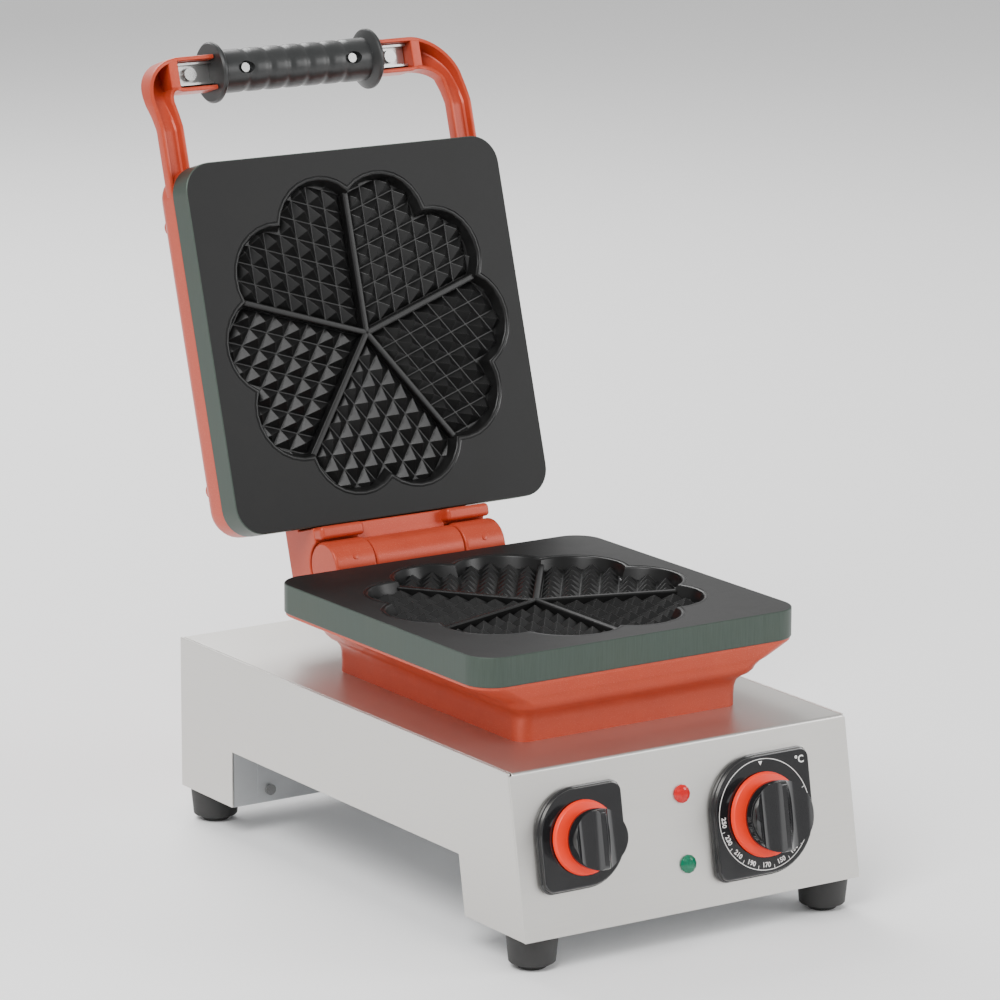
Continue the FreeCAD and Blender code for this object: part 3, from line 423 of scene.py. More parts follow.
def place(bm, part, *poses):
    """Copies a drawing into another once for each pose."""
    mesh = bpy.data.meshes.new("part")
    part.to_mesh(mesh)
    for pose in poses or (Matrix.Identity(4),):
        copy = mesh.copy()
        copy.transform(pose)
        if pose.determinant() < 0:
            copy.flip_normals()
        bm.from_mesh(copy)
        bpy.data.meshes.remove(copy)
    bpy.data.meshes.remove(mesh)
    return bm


def plan_ring(half, y0, y1, corner, z, steps=7):
    """A rectangle with round corners at one height, centred on X."""
    points = []
    for x, y, first in ((1, y1, 0), (-1, y1, 1), (-1, y0, 2), (1, y0, 3)):
        cx = x * (half - corner)
        cy = y - corner if y == y1 else y + corner
        for n in range(steps + 1):
            turn = math.pi / 2 * (first + n / steps)
            points.append((cx + corner * math.cos(turn), cy + corner * math.sin(turn), z))
    return points


print("drawing tools ready")


# %% [markdown]
# piece() ends a drawing: it scales it to metres in its place, gives it its finishes and smooth shading
# with crisp edges, and hangs it on the body it moves with. stands_for names the plain parts it replaces.

# %% From drawing to piece
made = []


def piece(name, bm, finishes, body, pose=BODY, stands_for=(), round_mm=0.0, sharp=34):
    bm.transform(Matrix.Scale(1 / MM, 4) @ pose)
    mesh = bpy.data.meshes.new(name)
    bm.to_mesh(mesh)
    bm.free()
    for finish in finishes if isinstance(finishes, list) else [finishes]:
        mesh.materials.append(finish)
    mesh.shade_smooth()
    mesh.set_sharp_from_angle(angle=math.radians(sharp))
    obj = bpy.data.objects.new(name, mesh)
    bpy.context.scene.collection.objects.link(obj)
    if round_mm:
        rounding = obj.modifiers.new("Rounded edges", "BEVEL")
        rounding.width, rounding.segments = round_mm / MM, 2
        rounding.limit_method, rounding.angle_limit = "ANGLE", math.radians(32)
        rounding.harden_normals = False
    weighted = obj.modifiers.new("Even shading", "WEIGHTED_NORMAL")
    weighted.keep_sharp = True
    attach(obj, body)
    if stands_for:
        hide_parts(*stands_for)
    made.append(name)
    return obj


print("piece maker ready")


# %% [markdown]
# The body is folded sheet: panel, top and rear in one strip, with a plate let in at each side. Each bend
# has a radius of its own, and the side plates stand a hair back, so a thin dark line runs along the joints.

# %% The folded body
sheet, bend, seam = 1.5, 2.2, 0.6
bridge_z = box("bottom_tray")[1].z - sheet
cover_y = box("rear_leg_cover")[1].y - home_y
front_notch = 76.5
slope = math.tan(lean)


def bent(a, corner, b, radius, steps=5):
    """The points of a bend at a corner between two straight runs, in Y and Z."""
    a, corner, b = Vector(a), Vector(corner), Vector(b)
    into, away = (a - corner).normalized(), (b - corner).normalized()
    half = into.angle(away) / 2
    centre = corner + (into + away).normalized() * radius / math.sin(half)
    first, last = corner + into * radius / math.tan(half), corner + away * radius / math.tan(half)
    turn = (first - centre).angle_signed(last - centre)
    return [centre + Matrix.Rotation(-turn * n / steps, 2) @ (first - centre) for n in range(steps + 1)]


def strip():
    """The panel, top and rear as one bent line, given its width and then its thickness."""
    low_front, high_front = (0, foot_h), (body_h * slope, top_z)
    high_rear, low_rear = (body_d, top_z), (body_d, foot_h)
    front_bend = bent(low_front, high_front, high_rear, bend)
    line = [Vector(low_front)] + front_bend
    line += bent(high_front, high_rear, low_rear, bend) + [Vector(low_rear)]
    half = half_body - sheet - seam
    bm = bmesh.new()
    verts = [bm.verts.new((-half, y, z)) for y, z in line]
    edges = [bm.edges.new(pair) for pair in zip(verts, verts[1:])]
    shift(bm, bmesh.ops.extrude_edge_only(bm, edges=edges)["geom"], 2 * half)
    bmesh.ops.recalc_face_normals(bm, faces=bm.faces)
    if sum(face.normal.z * face.calc_area() for face in bm.faces) < 0:
        bmesh.ops.reverse_faces(bm, faces=bm.faces)
    for vert in bm.verts:
        if vert.co.y < cover_y and vert.co.z < front_bend[0].y + 0.01:
            vert.co.x = math.copysign(half_body, vert.co.x)
    bmesh.ops.solidify(bm, geom=bm.faces[:], thickness=sheet)
    return bm


def side_plate(side):
    """One side plate: its outline is the body's profile, with the notch between the legs."""
    lap = sheet / math.cos(lean)
    points = [(lap, foot_h), (body_h * slope + lap, top_z), (body_d, top_z), (body_d, foot_h),
              (body_d - rear_leg, foot_h), (body_d - rear_leg, bridge_z), (front_notch, bridge_z),
              (front_notch - (bridge_z - foot_h) * slope, foot_h)]
    return bar(side * half_body, side * (half_body - sheet), points)


rear_leg = body_d - cover_y
piece("folded_body", strip(), brushed_panel, "base", stands_for=["housing_shell"],
      round_mm=0.7, sharp=50)
for side, name in ((-1, "left"), (1, "right")):
    piece(f"side_plate_{name}", side_plate(side), brushed_side, "base",
          stands_for=[f"side_panel_{name}"], round_mm=0.35)
print("body:", made)

# %% [markdown]
# The irons. One slab is drawn for the lower iron and turned over in the parting plane for the upper one.
# The mould is a flower of ten round lobes: every loop of it is worked out from the lobes, so its lip, its
# wall and its floor are the same flower at different sizes.

# %% The flower
mould_r, lobes = 111.0, 10
lobe_r, lobe_reach = 0.31 * mould_r, 0.69 * mould_r
mould_floor, rib_wide, rib_drop = face_z - 9.0, 4.5, 3.5


def flower_ring(grow, z, steps=9):
    """The flower's outline grown outwards, at one height: ten arcs that meet in cusps."""
    radius, half = lobe_r + grow, math.radians(180 / lobes)
    cusp = lobe_reach * math.cos(half) + math.sqrt(radius ** 2 - (lobe_reach * math.sin(half)) ** 2)
    reach = math.atan2(cusp * math.sin(half), cusp * math.cos(half) - lobe_reach)
    points = []
    for lobe in range(lobes):
        middle = math.radians(360 / lobes * lobe)
        for n in range(steps):
            turn = middle + reach * (2 * n / steps - 1)
            points.append((lobe_reach * math.cos(middle) + radius * math.cos(turn),
                           iron_mid + lobe_reach * math.sin(middle) + radius * math.sin(turn), z))
    return points


# How far each loop of the lip, wall and floor stands outside the flower, and its height over the face.
LIP = [(2.6, 0), (2.1, -0.4), (1.5, -0.15), (0.6, -0.1), (-0.2, -0.5), (-0.7, -1.3), (-3.2, -8.6),
       (-4.2, -9.0)]
print("mould", 2 * mould_r, "mm across,", face_z - mould_floor, "deep")

# %% [markdown]
# Inside each of the five hearts stands a field of pyramids on a slanting lattice, square to the two ribs
# that bound the heart. Each pyramid is a four-sided cone sheared to its cell. Cells that fall outside the
# flower are left out, and those on its edge run into the wall.

# %% Pyramids and ribs
pitch, pyramid_h, lattice = 13.3, 5.2, 8
heart_half, hearts, sunk = 36, 5, 0.25


def pyramid():
    """One pyramid on a unit square, with a slightly blunt tip."""
    bm = bmesh.new()
    bmesh.ops.create_cone(bm, cap_ends=True, segments=4, radius1=0.70, radius2=0.035, depth=1.0)
    bm.transform(Matrix.Translation((0.5, 0.5, 0.5)) @ Matrix.Rotation(math.pi / 4, 4, "Z"))
    edges = [edge for edge in bm.edges if abs(edge.verts[0].co.z - edge.verts[1].co.z) > 0.5]
    bmesh.ops.bevel(bm, geom=edges, offset=0.025, segments=2, profile=0.5, affect="EDGES", material=-1)
    return bm


def towards(degrees, length=1.0):
    """A step of some length in a direction on the face."""
    return Vector((math.cos(math.radians(degrees)), math.sin(math.radians(degrees)), 0)) * length


def heart_cells(axis):
    """The pose of every pyramid of the heart that points along an angle."""
    along, across = towards(axis - heart_half), towards(axis + heart_half)
    corner = towards(axis) * (rib_wide / 2 + 0.3) / math.sin(math.radians(heart_half))
    own_lobes = [towards(axis + side, lobe_reach) for side in (-heart_half / 2, heart_half / 2)]
    cells = []
    for i in range(lattice):
        for j in range(lattice):
            foot = corner + (along * i + across * j) * pitch
            middle = foot + (along + across) * pitch / 2
            near = min((middle - lobe).length for lobe in own_lobes)
            if near < lobe_r + 1.5 or middle.length < lobe_reach:
                pose = Matrix.Identity(4)
                pose.col[0].xyz, pose.col[1].xyz = along * pitch, across * pitch
                pose.col[2].xyz = (0, 0, pyramid_h)
                pose.translation = foot + Vector((0, iron_mid, mould_floor - sunk))
                cells.append(pose)
    return cells


def mould_relief():
    """All the pyramids and the five ribs of a mould."""
    bm, one, turn = bmesh.new(), pyramid(), 360 / hearts
    rib = block(0, mould_r - 14, -rib_wide / 2, rib_wide / 2, mould_floor - 0.3, face_z - rib_drop, 1.1, 3)
    for heart in range(hearts):
        place(bm, one, *heart_cells(90 + turn * heart))
        place(bm, rib, Matrix.Translation((0, iron_mid, 0))
              @ Matrix.Rotation(math.radians(270 + turn * heart), 4, "Z"))
    return bm


print("pyramids in a heart:", len(heart_cells(90)))


# %% [markdown]
# The slab is a stack of rounded rectangles. Its face is filled between the outer edge and the flower's lip,
# and the wall and the floor of the mould follow. Flank, face and mould each take a finish of their own.

# %% The slab around the mould, and both irons
def iron():
    """One iron with its mould, its face up."""
    bm = bmesh.new()
    corner, edge = 20.0, 0.6
    sides = [(iron_half - edge, edge, iron_z), (iron_half, 0, iron_z + edge), (iron_half, 0, face_z - edge),
             (iron_half - edge, edge, face_z)]
    rings = [closed_loop(bm, plan_ring(half, iron_y0 + inset, iron_y1 - inset, corner - inset, z, 9))
             for half, inset, z in sides]
    for low, high in zip(rings, rings[1:]):
        bmesh.ops.bridge_loops(bm, edges=low + high)
    bmesh.ops.contextual_create(bm, geom=rings[0])
    lips = [closed_loop(bm, flower_ring(grow, face_z + drop)) for grow, drop in LIP]
    flank = set(bm.faces)
    bmesh.ops.triangle_fill(bm, edges=rings[-1] + lips[0], use_beauty=True)
    plate = set(bm.faces) - flank
    for high, low in zip(lips, lips[1:]):
        bmesh.ops.bridge_loops(bm, edges=high + low)
    bmesh.ops.contextual_create(bm, geom=lips[-1])
    for face in bm.faces:
        face.material_index = 0 if face in flank else 1 if face in plate else 2
    bmesh.ops.recalc_face_normals(bm, faces=bm.faces)
    relief = mould_relief()
    for face in relief.faces:
        face.material_index = 2
    return place(bm, relief)


TURNED_OVER = Matrix.Translation((0, 0, lid_face + face_z)) @ Matrix.Diagonal((1, 1, -1, 1))
IRON_FINISHES = [iron_flank, iron_face, iron_mould]
lower = iron()
upper = place(bmesh.new(), lower, TURNED_OVER)
piece("iron_below", lower, IRON_FINISHES, "base", BODY, ["lower_iron"])
piece("iron_above", upper, IRON_FINISHES, "lid", LID, ["upper_iron"])
print("irons:", made[-2:])

# %% [markdown]
# The lower casting is a stack of rounded rectangles: a pedestal on the body, an undercut, then a belly
# that sweeps out to a thin rim under the iron. Behind it stand two ears, each with a knuckle for the pin.

# %% The lower casting
# Half width, front, rear, height and corner radius of each ring, from the pedestal up to the rim.
PAN = [(86, 74, 294, top_z, 10), (86, 74, 294, 134, 10), (86.4, 73.4, 294.2, 140, 10.5),
       (87.4, 71.5, 294.8, 144.5, 11.5), (90, 67.5, 296.5, 148, 13), (93.4, 64.2, 299.4, 150, 14),
       (95.6, 62.6, 301.4, 152.4, 14), (97.4, 61.8, 302.6, 155.2, 14.5), (101, 61.2, 304, 157.8, 15),
       (107, 60.4, 305.8, 160.2, 16), (108.6, 60.1, 306.4, 161, 16.4), (123.2, 58.3, 309, 168.1, 19.6),
       (124.2, 58.1, 309.3, 168.8, 20), (124.4, 58.1, 309.4, iron_z, 20)]


def rod_x(radius, x0, x1, y=None, z=None, edge=1.0, steps=48):
    """A rod along X with rounded ends."""
    long, soft = x1 - x0, edge * 0.3
    bm = lathe([(0, 0), (radius - edge, 0), (radius - soft, soft), (radius, edge), (radius, long - edge),
                (radius - soft, long - soft), (radius - edge, long), (0, long)], steps)
    bm.transform(Matrix.Translation((x0, pin_y if y is None else y, pin_z if z is None else z))
                 @ Matrix.Rotation(math.pi / 2, 4, "Y"))
    return bm


knuckle_r, barrel_r, hinge_half, barrel_half = 17.0, 16.0, 68.0, 35.5
ear_front, ear_low, ear_top, ear_r, ear_round = 289, 154, iron_z - 0.5, knuckle_r - 0.4, 1.4
mark_r, mark_deg = 2.0, 150
casting = loft([plan_ring(half, y0, y1, corner, z, 9) for half, y0, y1, z, corner in PAN])
ear_root = [(ear_front, ear_low), (ear_front, ear_top), (pin_y - 22, ear_top)]
ear = ear_root + arc(pin_y, pin_z, ear_r, 165, 20, 9) + arc(pin_y, pin_z, ear_r, 10, -60, 5)
ear += [(pin_y + 8, 160), (pin_y - 8, ear_low)]
for side in (-1, 1):
    x0, x1 = sorted((side * (barrel_half + 0.6), side * hinge_half))
    place(casting, bar(x0, x1, ear, ear_round))
    place(casting, rod_x(knuckle_r, x0 + 0.5, x1 - 0.5, edge=ear_round))
    mark = rod_x(mark_r, -0.5, 0.5, 0, 0, 0.25, 24)
    spot = Vector((side * (hinge_half + barrel_half) / 2, pin_y, pin_z))
    place(casting, mark, Matrix.Translation(spot) @ Matrix.Rotation(math.radians(mark_deg), 4, "X")
          @ Matrix.Translation((0, knuckle_r, 0)) @ Matrix.Rotation(math.pi / 2, 4, "Z"))
place(casting, bar(-barrel_half, barrel_half, ear_root + [(pin_y - 22, 162), (pin_y - 14, 158)], 1.2))
piece("casting_below", casting, red_enamel, "base", BODY, ["lower_casting"], sharp=40)
print("lower casting ready")

# %% [markdown]
# The lid's casting is a shallow pan with a full round at its back edge. From its front corners a channel
# of U section runs forward, turns inwards and rises until it holds the handle. The channel is a loft of
# one U-shaped section along a bent path, the same for both sides. A divider closes the handle's pocket.

# %% The lid's pan and yoke
rim_half, rim_y0, rim_y1 = 124.4, 58.1, 309.4
lid_deep, lid_round = 25.0, 12.0
lid_back = lid_z + lid_deep
yoke_low, yoke_rise, bar_centre = lid_z + 1.3, 18.0, -8.6
lid_rings = [plan_ring(rim_half - 0.6, rim_y0 + 0.6, rim_y1 - 0.6, 19.4, lid_z, 9),
             plan_ring(rim_half, rim_y0, rim_y1, 20, lid_z + 0.7, 9)]
for step in range(7):
    turn = math.radians(15 * step)
    inset = lid_round * (1 - math.cos(turn))
    lid_rings.append(plan_ring(rim_half - inset, rim_y0 + inset, rim_y1 - inset, max(20 - inset, 8.5),
                               lid_back - lid_round * (1 - math.sin(turn)), 9))
lid_pan = loft(lid_rings)

arm_half, arm_wall, handle_inner = 8.75, 3.0, 15.25
turn_x, turn_y, turn_r, turn_steps = rim_half - 32, 12.0, 23.25, 14
# Place along Y, the crest's rise above its start, and the depth of the channel there.
RISE = [(30, 0, 9.8), (20, 3.1, 10.8), (10, 7.2, 13), (5, 9.8, 14.6), (0, 12.6, 16.6), (-5, 15.4, 18.8),
        (-10, 18, 21)]


def on_rise(y, column):
    """The yoke's crest above its start (1) or its depth (2), at a place along Y."""
    if y >= RISE[0][0]:
        return RISE[0][column]
    for near, far in zip(RISE, RISE[1:]):
        if y >= far[0]:
            return near[column] + (far[column] - near[column]) * (near[0] - y) / (near[0] - far[0])
    return RISE[-1][column]


def u_section(spot, out, inner):
    """The channel's section where the path passes; out points away from the middle of the lid."""
    crest = yoke_low + on_rise(spot.y, 1)
    back = crest + on_rise(spot.y, 2)
    half, wall, soft = arm_half, arm_wall, 0.9
    shape = [(half, crest + soft), (half, back - 3), (half - 0.9, back - 0.9), (half - 3, back),
             (-inner + 3, back), (-inner + 0.9, back - 0.9), (-inner, back - 3), (-inner, crest + soft),
             (-inner + 0.4, crest + 0.25), (-inner + wall / 2, crest), (-inner + wall - 0.4, crest + 0.25),
             (-inner + wall, crest + soft), (-inner + wall + 0.3, back - 5), (-inner + wall + 1.4, back - 4),
             (half - wall - 1.4, back - 4), (half - wall - 0.3, back - 5), (half - wall, crest + soft),
             (half - wall + 0.4, crest + 0.25), (half - wall / 2, crest), (half - 0.4, crest + 0.25)]
    return [(spot.x + out.x * across, spot.y + out.y * across, z) for across, z in shape]


def yoke_side():
    """One arm of the yoke: forward along the lid, round the corner, and in to the handle."""
    rings = [u_section(Vector((rim_half - arm_half, y, 0)), Vector((1, 0, 0)), arm_half)
             for y in (76, 66, 56, 46, 38, 32, 29, 25, 21, 17, 14)]
    for step in range(turn_steps + 1):
        turn, inner = math.radians(-90 * step / turn_steps), arm_half + 6.5 * step / turn_steps
        out = Vector((math.cos(turn), math.sin(turn), 0))
        rings.append(u_section(Vector((turn_x, turn_y, 0)) + out * turn_r, out, inner))
    rings += [u_section(Vector((x, turn_y - turn_r, 0)), Vector((0, -1, 0)), handle_inner)
              for x in (88, 82, 76, 70, 65.8, 65.4)]
    return loft(rings)


yoke = yoke_side()
core_end = box("handle_core")[1].x
divider_top = yoke_low + yoke_rise + 0.3
place(yoke, block(core_end + 0.6, core_end + 8, -18.5, 1.5, divider_top, lid_z + 36, 0.8, 3))
place(lid_pan, yoke, Matrix.Identity(4), Matrix.Diagonal((-1, 1, 1, 1)))
boss = lathe([(5.7, lid_back - 0.5), (5.7, lid_back + 3.1), (6.1, lid_back + 3.5), (6.5, lid_back + 3.2),
              (7.5, lid_z + 8)], 40)
boss_inset = 12
for x in (-1, 1):
    for y in (iron_y0 + 37, iron_y1 - 35):
        place(lid_pan, boss, Matrix.Translation((x * (rim_half - boss_inset), y, 0)))
print("lid pan and yoke ready")

# %% [markdown]
# At the lid's rear a block reaches over the knuckles to the barrel between them. It is hollowed on the
# sweep of the knuckles, and two rounded lugs stand in front of them as stops.

# %% The hinge on the lid
sweep_r = knuckle_r + 1.2
block_end, block_top = pin_y + 12, lid_z + 19
block_face, lug_drop, lug_round = lid_face + 0.4, 9, 2.6
over = [(rim_y1 + 1.3, block_face), (pin_y - 18, block_face)] + arc(pin_y, pin_z, sweep_r, 158, 49, 12)
over += [(block_end, block_top - 6), (block_end - 2, block_top - 2), (block_end - 6, block_top),
         (rim_y1 - 14, block_top), (rim_y1 - 14, lid_z + 1), (rim_y1 + 1.3, lid_z + 1)]
place(lid_pan, bar(-hinge_half, hinge_half, over, 1.0))
place(lid_pan, rod_x(barrel_r, -barrel_half, barrel_half, edge=1.6))
web = [(pin_y - 12, pin_z + 6), (pin_y + 8, pin_z + 8), (pin_y + 8, pin_z + 26), (pin_y - 20, pin_z + 26),
       (pin_y - 20, block_face)]
place(lid_pan, bar(-barrel_half, barrel_half, web, 1.2))
for x0, x1 in ((-hinge_half + 0.3, -barrel_half + 2), (barrel_half - 2, hinge_half - 0.3)):
    place(lid_pan, block(x0, x1, rim_y1 + 1.2, rim_y1 + 10.1, lid_face - lug_drop, lid_face + 4,
                         lug_round, 5))
piece("casting_above", lid_pan, red_enamel, "lid", LID, ["upper_casting"], sharp=40)
print("upper casting ready")

# %% [markdown]
# The grip is turned bakelite with shallow grooves for the fingers and a thin flange at each end. Two oval
# recesses let its screws in from the front. The steel core that runs through it is the frame's own part.

# %% The grip
grip_z = yoke_low + yoke_rise + 10.5
grip_half, grip_r, flange_r = 64.5, 15.0, 21.0
GROOVES = [15.5 * n - 38.75 for n in range(6)]


def carve(bm, tool):
    """Cuts one drawing with another."""
    objects = []
    for part in (bm, tool):
        mesh = bpy.data.meshes.new("part")
        part.to_mesh(mesh)
        part.clear()
        objects.append(bpy.data.objects.new("part", mesh))
        bpy.context.scene.collection.objects.link(objects[-1])
    cut = objects[0].modifiers.new("cut", "BOOLEAN")
    cut.object, cut.operation, cut.solver = objects[1], "DIFFERENCE", "EXACT"
    scene_now = bpy.context.evaluated_depsgraph_get()
    result = bpy.data.meshes.new_from_object(objects[0].evaluated_get(scene_now))
    bm.from_mesh(result)
    for obj in objects:
        bpy.data.meshes.remove(obj.data)
    bpy.data.meshes.remove(result)
    return bm


groove_deep, groove_half, recess_x = 0.85, 2.4, 43
profile = [(0, -grip_half), (flange_r - 1.2, -grip_half), (flange_r, -grip_half + 1.2),
           (flange_r, -grip_half + 2.8), (flange_r - 1.2, -grip_half + 4)]
for step in range(91):
    along = -grip_half + 6 + (2 * grip_half - 12) * step / 90
    dip = sum(math.exp(-((along - groove) / groove_half) ** 2) for groove in GROOVES)
    profile.append((grip_r - groove_deep * dip, along))
profile += [(flange_r - 1.2, grip_half - 4), (flange_r, grip_half - 2.8), (flange_r, grip_half - 1.2),
            (flange_r - 1.2, grip_half), (0, grip_half)]
grip = lathe(profile, 72)
for side in (-1, 1):
    recess = lathe([(0, -4), (4.2, -4), (4.6, 4), (0, 4)], 32)
    recess.transform(Matrix.Translation((0, 0, side * recess_x)) @ Matrix.Diagonal((1, 1, 1.5, 1))
                     @ Matrix.Rotation(math.pi / 2, 4, "Y") @ Matrix.Translation((0, 0, grip_r)))
    carve(grip, recess)
grip.transform(Matrix.Translation((0, bar_centre, grip_z)) @ Matrix.Rotation(math.pi / 2, 4, "Y"))
piece("grip", grip, bakelite, "lid", LID, ["handle_grip"], round_mm=0.4)
print("grip ready")

# %% [markdown]
# The two controls share one drawing: a leaf-shaped plate with a stepped edge, a coloured ring and a bell
# of a knob. The bell is turned, then two round flutes are cut across its front, which leaves a ridge down
# the middle to grip.

# %% Plates, rings and knobs
plate_thick, knob_gap, knob_rise, ring_rise, ring_wall = 6.0, 0.6, 23.5, 4.5, 10.0
knob_lip, flute_r, flute_x, flute_deep, flute_half = 4.4, 11.5, 11.4, 5.4, 32
foot = plate_thick + knob_gap


def leaf_ring(size, inset, z, steps=10):
    """The leaf: two opposite corners nearly a quarter circle, the other two small."""
    big, small, half = size * 0.46 - inset, 8.0 - inset, size / 2 - inset
    points = []
    for x, y, first, radius in ((1, 1, 0, small), (-1, 1, 1, big), (-1, -1, 2, small), (1, -1, 3, big)):
        for n in range(steps + 1):
            turn = math.pi / 2 * (first + n / steps)
            points.append((x * (half - radius) + radius * math.cos(turn),
                           y * (half - radius) + radius * math.sin(turn), z))
    return points


def plate(size):
    """The plate under a knob, with a step round its edge."""
    rings = [(0.2, 0.05), (0, 0.4), (0, 2.6), (0.3, 3.2), (1.1, 3.5), (1.3, 4.0), (1.4, 5.2), (1.7, 5.75),
             (2.4, 6.0)]
    return loft([leaf_ring(size, inset, z) for inset, z in rings])


def ring(outer):
    """The coloured ring round the foot of a knob."""
    inner = outer - ring_wall
    return lathe([(inner + 0.05, foot), (outer - 0.3, foot), (outer, foot + 0.4), (outer - 0.4, foot + 2.4),
                  (outer - 1.2, foot + 3.2), (inner + 1.6, foot + ring_rise - 0.1),
                  (inner + 0.05, foot + ring_rise)], 96, closed=True)


def knob(ring_r):
    """The bell of a knob, with a flute on each side of its ridge."""
    inner, lip, top = ring_r - ring_wall, ring_r - knob_lip, foot + knob_rise
    bell = lathe([(0, foot), (inner, foot), (inner, foot + 4.8), (inner + 0.8, foot + 6.2),
                  (lip - 2.2, foot + 8), (lip - 0.6, foot + 9.6), (lip, foot + 12), (lip, top - 4),
                  (lip - 0.4, top - 2), (lip - 1.2, top - 0.8), (lip - 2.2, top - 0.1), (lip - 3, top),
                  (0, top)], 96)
    for side in (-1, 1):
        flute = lathe([(0, -flute_half), (flute_r, -flute_half), (flute_r, flute_half), (0, flute_half)], 128)
        flute.transform(Matrix.Translation((side * flute_x, 0, top + flute_r - flute_deep))
                        @ Matrix.Rotation(math.pi / 2, 4, "X"))
        carve(bell, flute)
    return bell


def width(node):
    """A part's extent along X."""
    low, high = box(node)
    return high.x - low.x


for control, pose in (("switch", SWITCH), ("thermostat", THERMOSTAT)):
    size, ring_r, dial = width(f"{control}_plate"), width(f"{control}_ring") / 2, f"{control}_dial"
    piece(f"{control}_face", plate(size), gloss_black, "base", pose, [f"{control}_plate"])
    piece(f"{control}_collar", ring(ring_r), orange_ring, dial, pose, [f"{control}_ring"])
    piece(f"{control}_grip", knob(ring_r), gloss_black, dial, pose, [f"{control}_knob"],
          round_mm=0.5, sharp=30)
print("controls:", made[-6:])

# %% [markdown]
# The dial's print is a thin white line round the plate, with numbers every 20 degrees of temperature,
# short ticks between them and a pointer at the top.

# %% Print
def words(text, height, spot, turn=0.0):
    """Text as a thin raised drawing centred on a spot."""
    curve = bpy.data.curves.new("print", "FONT")
    curve.body, curve.size, curve.extrude, curve.resolution_u = text, height, 0.03, 3
    curve.align_x, curve.align_y, curve.offset = "CENTER", "CENTER", 0.02 * height
    carrier = bpy.data.objects.new("print", curve)
    bpy.context.scene.collection.objects.link(carrier)
    mesh = bpy.data.meshes.new_from_object(carrier.evaluated_get(bpy.context.evaluated_depsgraph_get()))
    bm = bmesh.new()
    bm.from_mesh(mesh)
    bm.transform(Matrix.Translation((*spot, plate_thick + 0.04)) @ Matrix.Rotation(turn, 4, "Z"))
    bpy.data.objects.remove(carrier)
    bpy.data.curves.remove(curve)
    bpy.data.meshes.remove(mesh)
    return bm


def round_the_dial(radius, degrees):
    """A spot on the dial, its angle counted from the right."""
    return radius * math.cos(math.radians(degrees)), radius * math.sin(math.radians(degrees))


line_r, numbers_r, ticks_r, per_step, first_deg = 35.85, 32.4, 34.2, 21.2, -179
hottest, cooler, numbers, line_wide = 250, 20, 10, 0.45


def dial_print():
    """Everything printed on the thermostat's plate, in one drawing."""
    low, high = plate_thick - 0.1, plate_thick + 0.05
    inner = line_r - line_wide
    ink = lathe([(line_r, low), (line_r, high), (inner, high), (inner, low)], 128, closed=True)
    tick = block(-1.2, 1.2, -0.18, 0.18, low, high)
    for step in range(numbers):
        degrees = per_step * step + first_deg
        number = words(str(hottest - cooler * step), 4.5, round_the_dial(numbers_r, degrees),
                       math.radians(degrees + 90))
        place(ink, number)
        between = degrees + per_step / 2
        spot = Matrix.Translation((*round_the_dial(ticks_r, between), 0))
        place(ink, tick, spot @ Matrix.Rotation(math.radians(between), 4, "Z"))
    place(ink, words("°C", 6.6, (30.6, 30.8)))
    pointer = bmesh.new()
    bmesh.ops.create_cone(pointer, cap_ends=True, segments=3, radius1=1.8, radius2=1.8, depth=0.15)
    place(ink, pointer, Matrix.Translation((0, 33.4, plate_thick - 0.02)) @ Matrix.Rotation(math.pi, 4, "Z"))
    return ink


piece("thermostat_print", dial_print(), white_ink, "base", THERMOSTAT)
print("print ready")

# %% [markdown]
# Lamps are faceted caps. The gland at the back is turned, with ribs round its nut to grip it by.

# %% Lamps and gland
lamp_x, facets, gland_x, gland_up, gland_ribs = -3, 12, -80, 60, 16
for colour, up, glass in (("red", 75.0, red_lens), ("green", 30.0, green_lens)):
    cap = lathe([(0, 0), (5.9, 0), (6.0, 0.3), (6.0, 1.1), (5.4, 1.9), (4.2, 2.9), (2.7, 3.6), (0, 3.85)],
                facets)
    piece(f"{colour}_cap", cap, glass, "base", PANEL @ Matrix.Translation((lamp_x, up, 0)),
          [f"{colour}_lamp_lens"], sharp=8)
gland = lathe([(4.25, -9.5), (12, -9.5), (12, -1.5), (8, -1.5), (8, 0), (11, 0), (11, 4.6), (10.6, 5),
               (8.4, 12), (4.25, 12)], 64, closed=True)
rib = block(9.2, 11.0, -0.7, 0.7, 0.4, 4.8, 0.3)
place(gland, rib, *[Matrix.Rotation(2 * math.pi * step / gland_ribs, 4, "Z") for step in range(gland_ribs)])
piece("gland", gland, black_moulding, "base",
      BODY @ Matrix.Translation((gland_x, body_d, foot_h + gland_up)) @ Matrix.Rotation(-math.pi / 2, 4, "X"),
      ["cable_gland"])
print("lamps and gland ready")

# %% [markdown]
# Everything else is already the right shape in the frame: feet, screws, nuts, shafts, the works behind
# the panel and the heating. Those parts only take a better finish on the slot they have.

# %% Finishes for the frame's own parts
FINISHES = {"black_rubber": rubber, "black_moulding": black_moulding, "bright_steel": bright,
            "galvanised_sheet": galvanised, "gloss_black": gloss_black, "heater_steel": heat_worn,
            "mineral_wool": wool, "brushed_stainless": brushed_side, "red_enamel": red_enamel,
            "nonstick_iron": iron_face, "black_bakelite": bakelite, "orange_ring": orange_ring,
            "red_lens": red_lens, "green_lens": green_lens}
finished = 0
for node, obj in frame["nodes"].items():
    for index, old in enumerate(obj.data.materials):
        finish = FINISHES.get(old.name.split(".")[0] if old else "")
        if finish:
            obj.data.materials[index] = plated if node == "handle_core" else finish
            finished += 1
print("finished nodes:", finished)

# %% [markdown]
# A pale plain floor, one large soft light from the upper left, a weaker one from the right, one from
# behind, and a bright but gentle world. The camera stands low at the front left, far off with a long lens.

# %% Floor, lights and camera
floor_half = 12.0


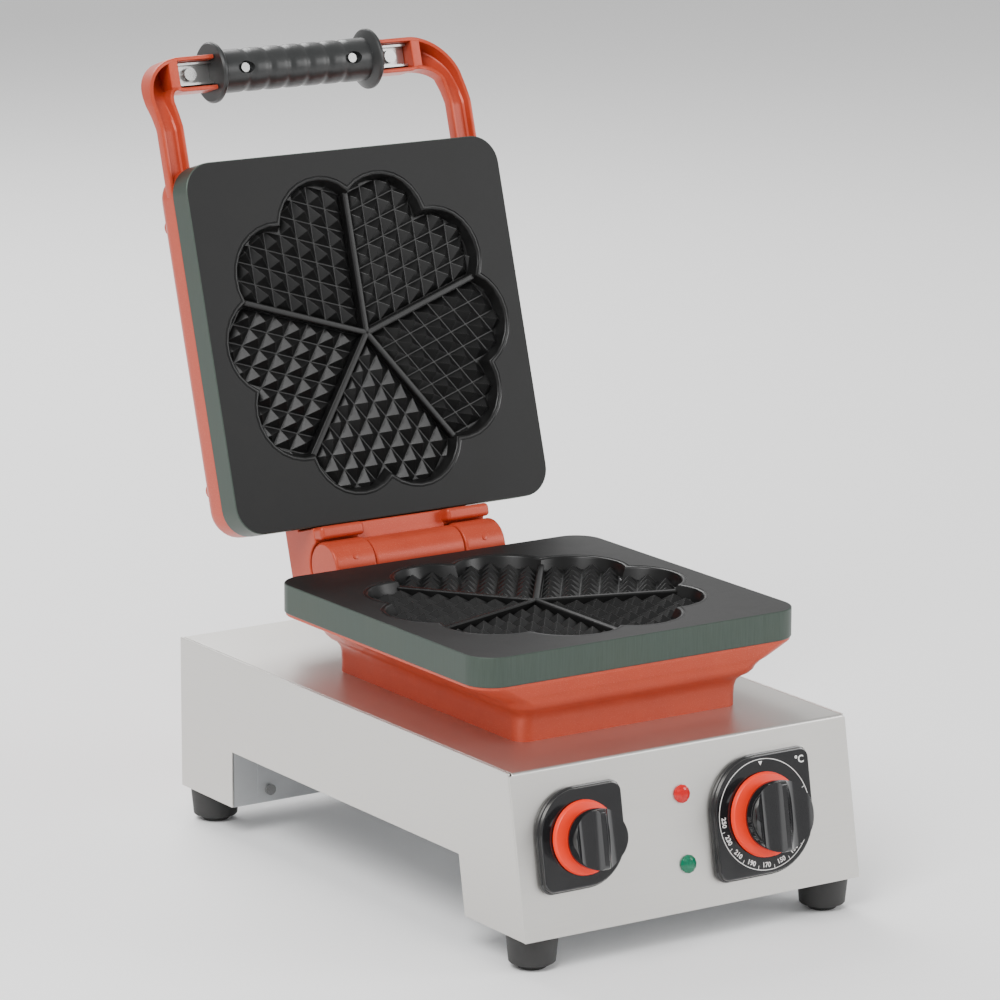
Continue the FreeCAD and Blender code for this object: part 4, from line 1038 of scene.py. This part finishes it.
def stage_floor():
    """The plain floor the baker stands on."""
    finish, here, shader = start("pale_floor", Base_Color=(0.96, 0.96, 0.96, 1), Specular_IOR_Level=0.25)
    wire_up(shader, Roughness=0.55 + noise(here, 3.0) * 0.1)
    mesh = bpy.data.meshes.new("floor")
    bm = bmesh.new()
    bmesh.ops.create_grid(bm, x_segments=1, y_segments=1, size=floor_half)
    bm.to_mesh(mesh)
    bm.free()
    mesh.materials.append(finish)
    floor = bpy.data.objects.new("floor", mesh)
    bpy.context.scene.collection.objects.link(floor)
    floor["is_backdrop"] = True


def soft_light(name, spot, aim, size, watts):
    """A square soft light that points from a spot at an aim."""
    lamp = bpy.data.lights.new(name, "AREA")
    lamp.shape, lamp.size, lamp.energy = "SQUARE", size, watts
    obj = bpy.data.objects.new(name, lamp)
    obj.location = spot
    obj.rotation_euler = (Vector(aim) - Vector(spot)).to_track_quat("-Z", "Y").to_euler()
    bpy.context.scene.collection.objects.link(obj)


stage_floor()
soft_light("key", (-1.9, -1.2, 2.5), (0, 0, 0.15), 1.6, 105)
soft_light("fill", (2.2, -2.0, 1.3), (0, 0, 0.2), 1.4, 40)
soft_light("back", (0.4, 2.2, 2.2), (0, 0, 0.3), 1.8, 75)
world = bpy.data.worlds.new("studio")
world.use_nodes = True
world.node_tree.nodes["Background"].inputs["Color"].default_value = (1.0, 1.0, 1.0, 1)
world.node_tree.nodes["Background"].inputs["Strength"].default_value = 0.68
bpy.context.scene.world = world

azimuth, elevation, roll = math.radians(-33.52), math.radians(12.97), math.radians(0.13)
lens = bpy.data.cameras.new("camera")
lens.lens, lens.sensor_width = 185.9, 36.0
camera = bpy.data.objects.new("camera", lens)
camera.location = (-1.83363, home_y / MM - 2.54184, 1.00962)
back = Vector((math.sin(azimuth) * math.cos(elevation), -math.cos(azimuth) * math.cos(elevation),
               math.sin(elevation)))
upright = back.to_track_quat("Z", "Y")
camera.rotation_euler = (upright @ Matrix.Rotation(roll, 3, "Z").to_quaternion()).to_euler()
bpy.context.scene.collection.objects.link(camera)
bpy.context.scene.camera = camera
print("camera", [round(value, 3) for value in camera.location])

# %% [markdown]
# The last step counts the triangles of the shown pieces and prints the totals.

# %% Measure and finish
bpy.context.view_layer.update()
triangles = {obj.name: sum(len(face.vertices) - 2 for face in obj.data.polygons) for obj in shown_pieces()
             if obj.type == "MESH"}
print("pieces", len(triangles), "triangles", sum(triangles.values()), "largest", max(triangles.values()))
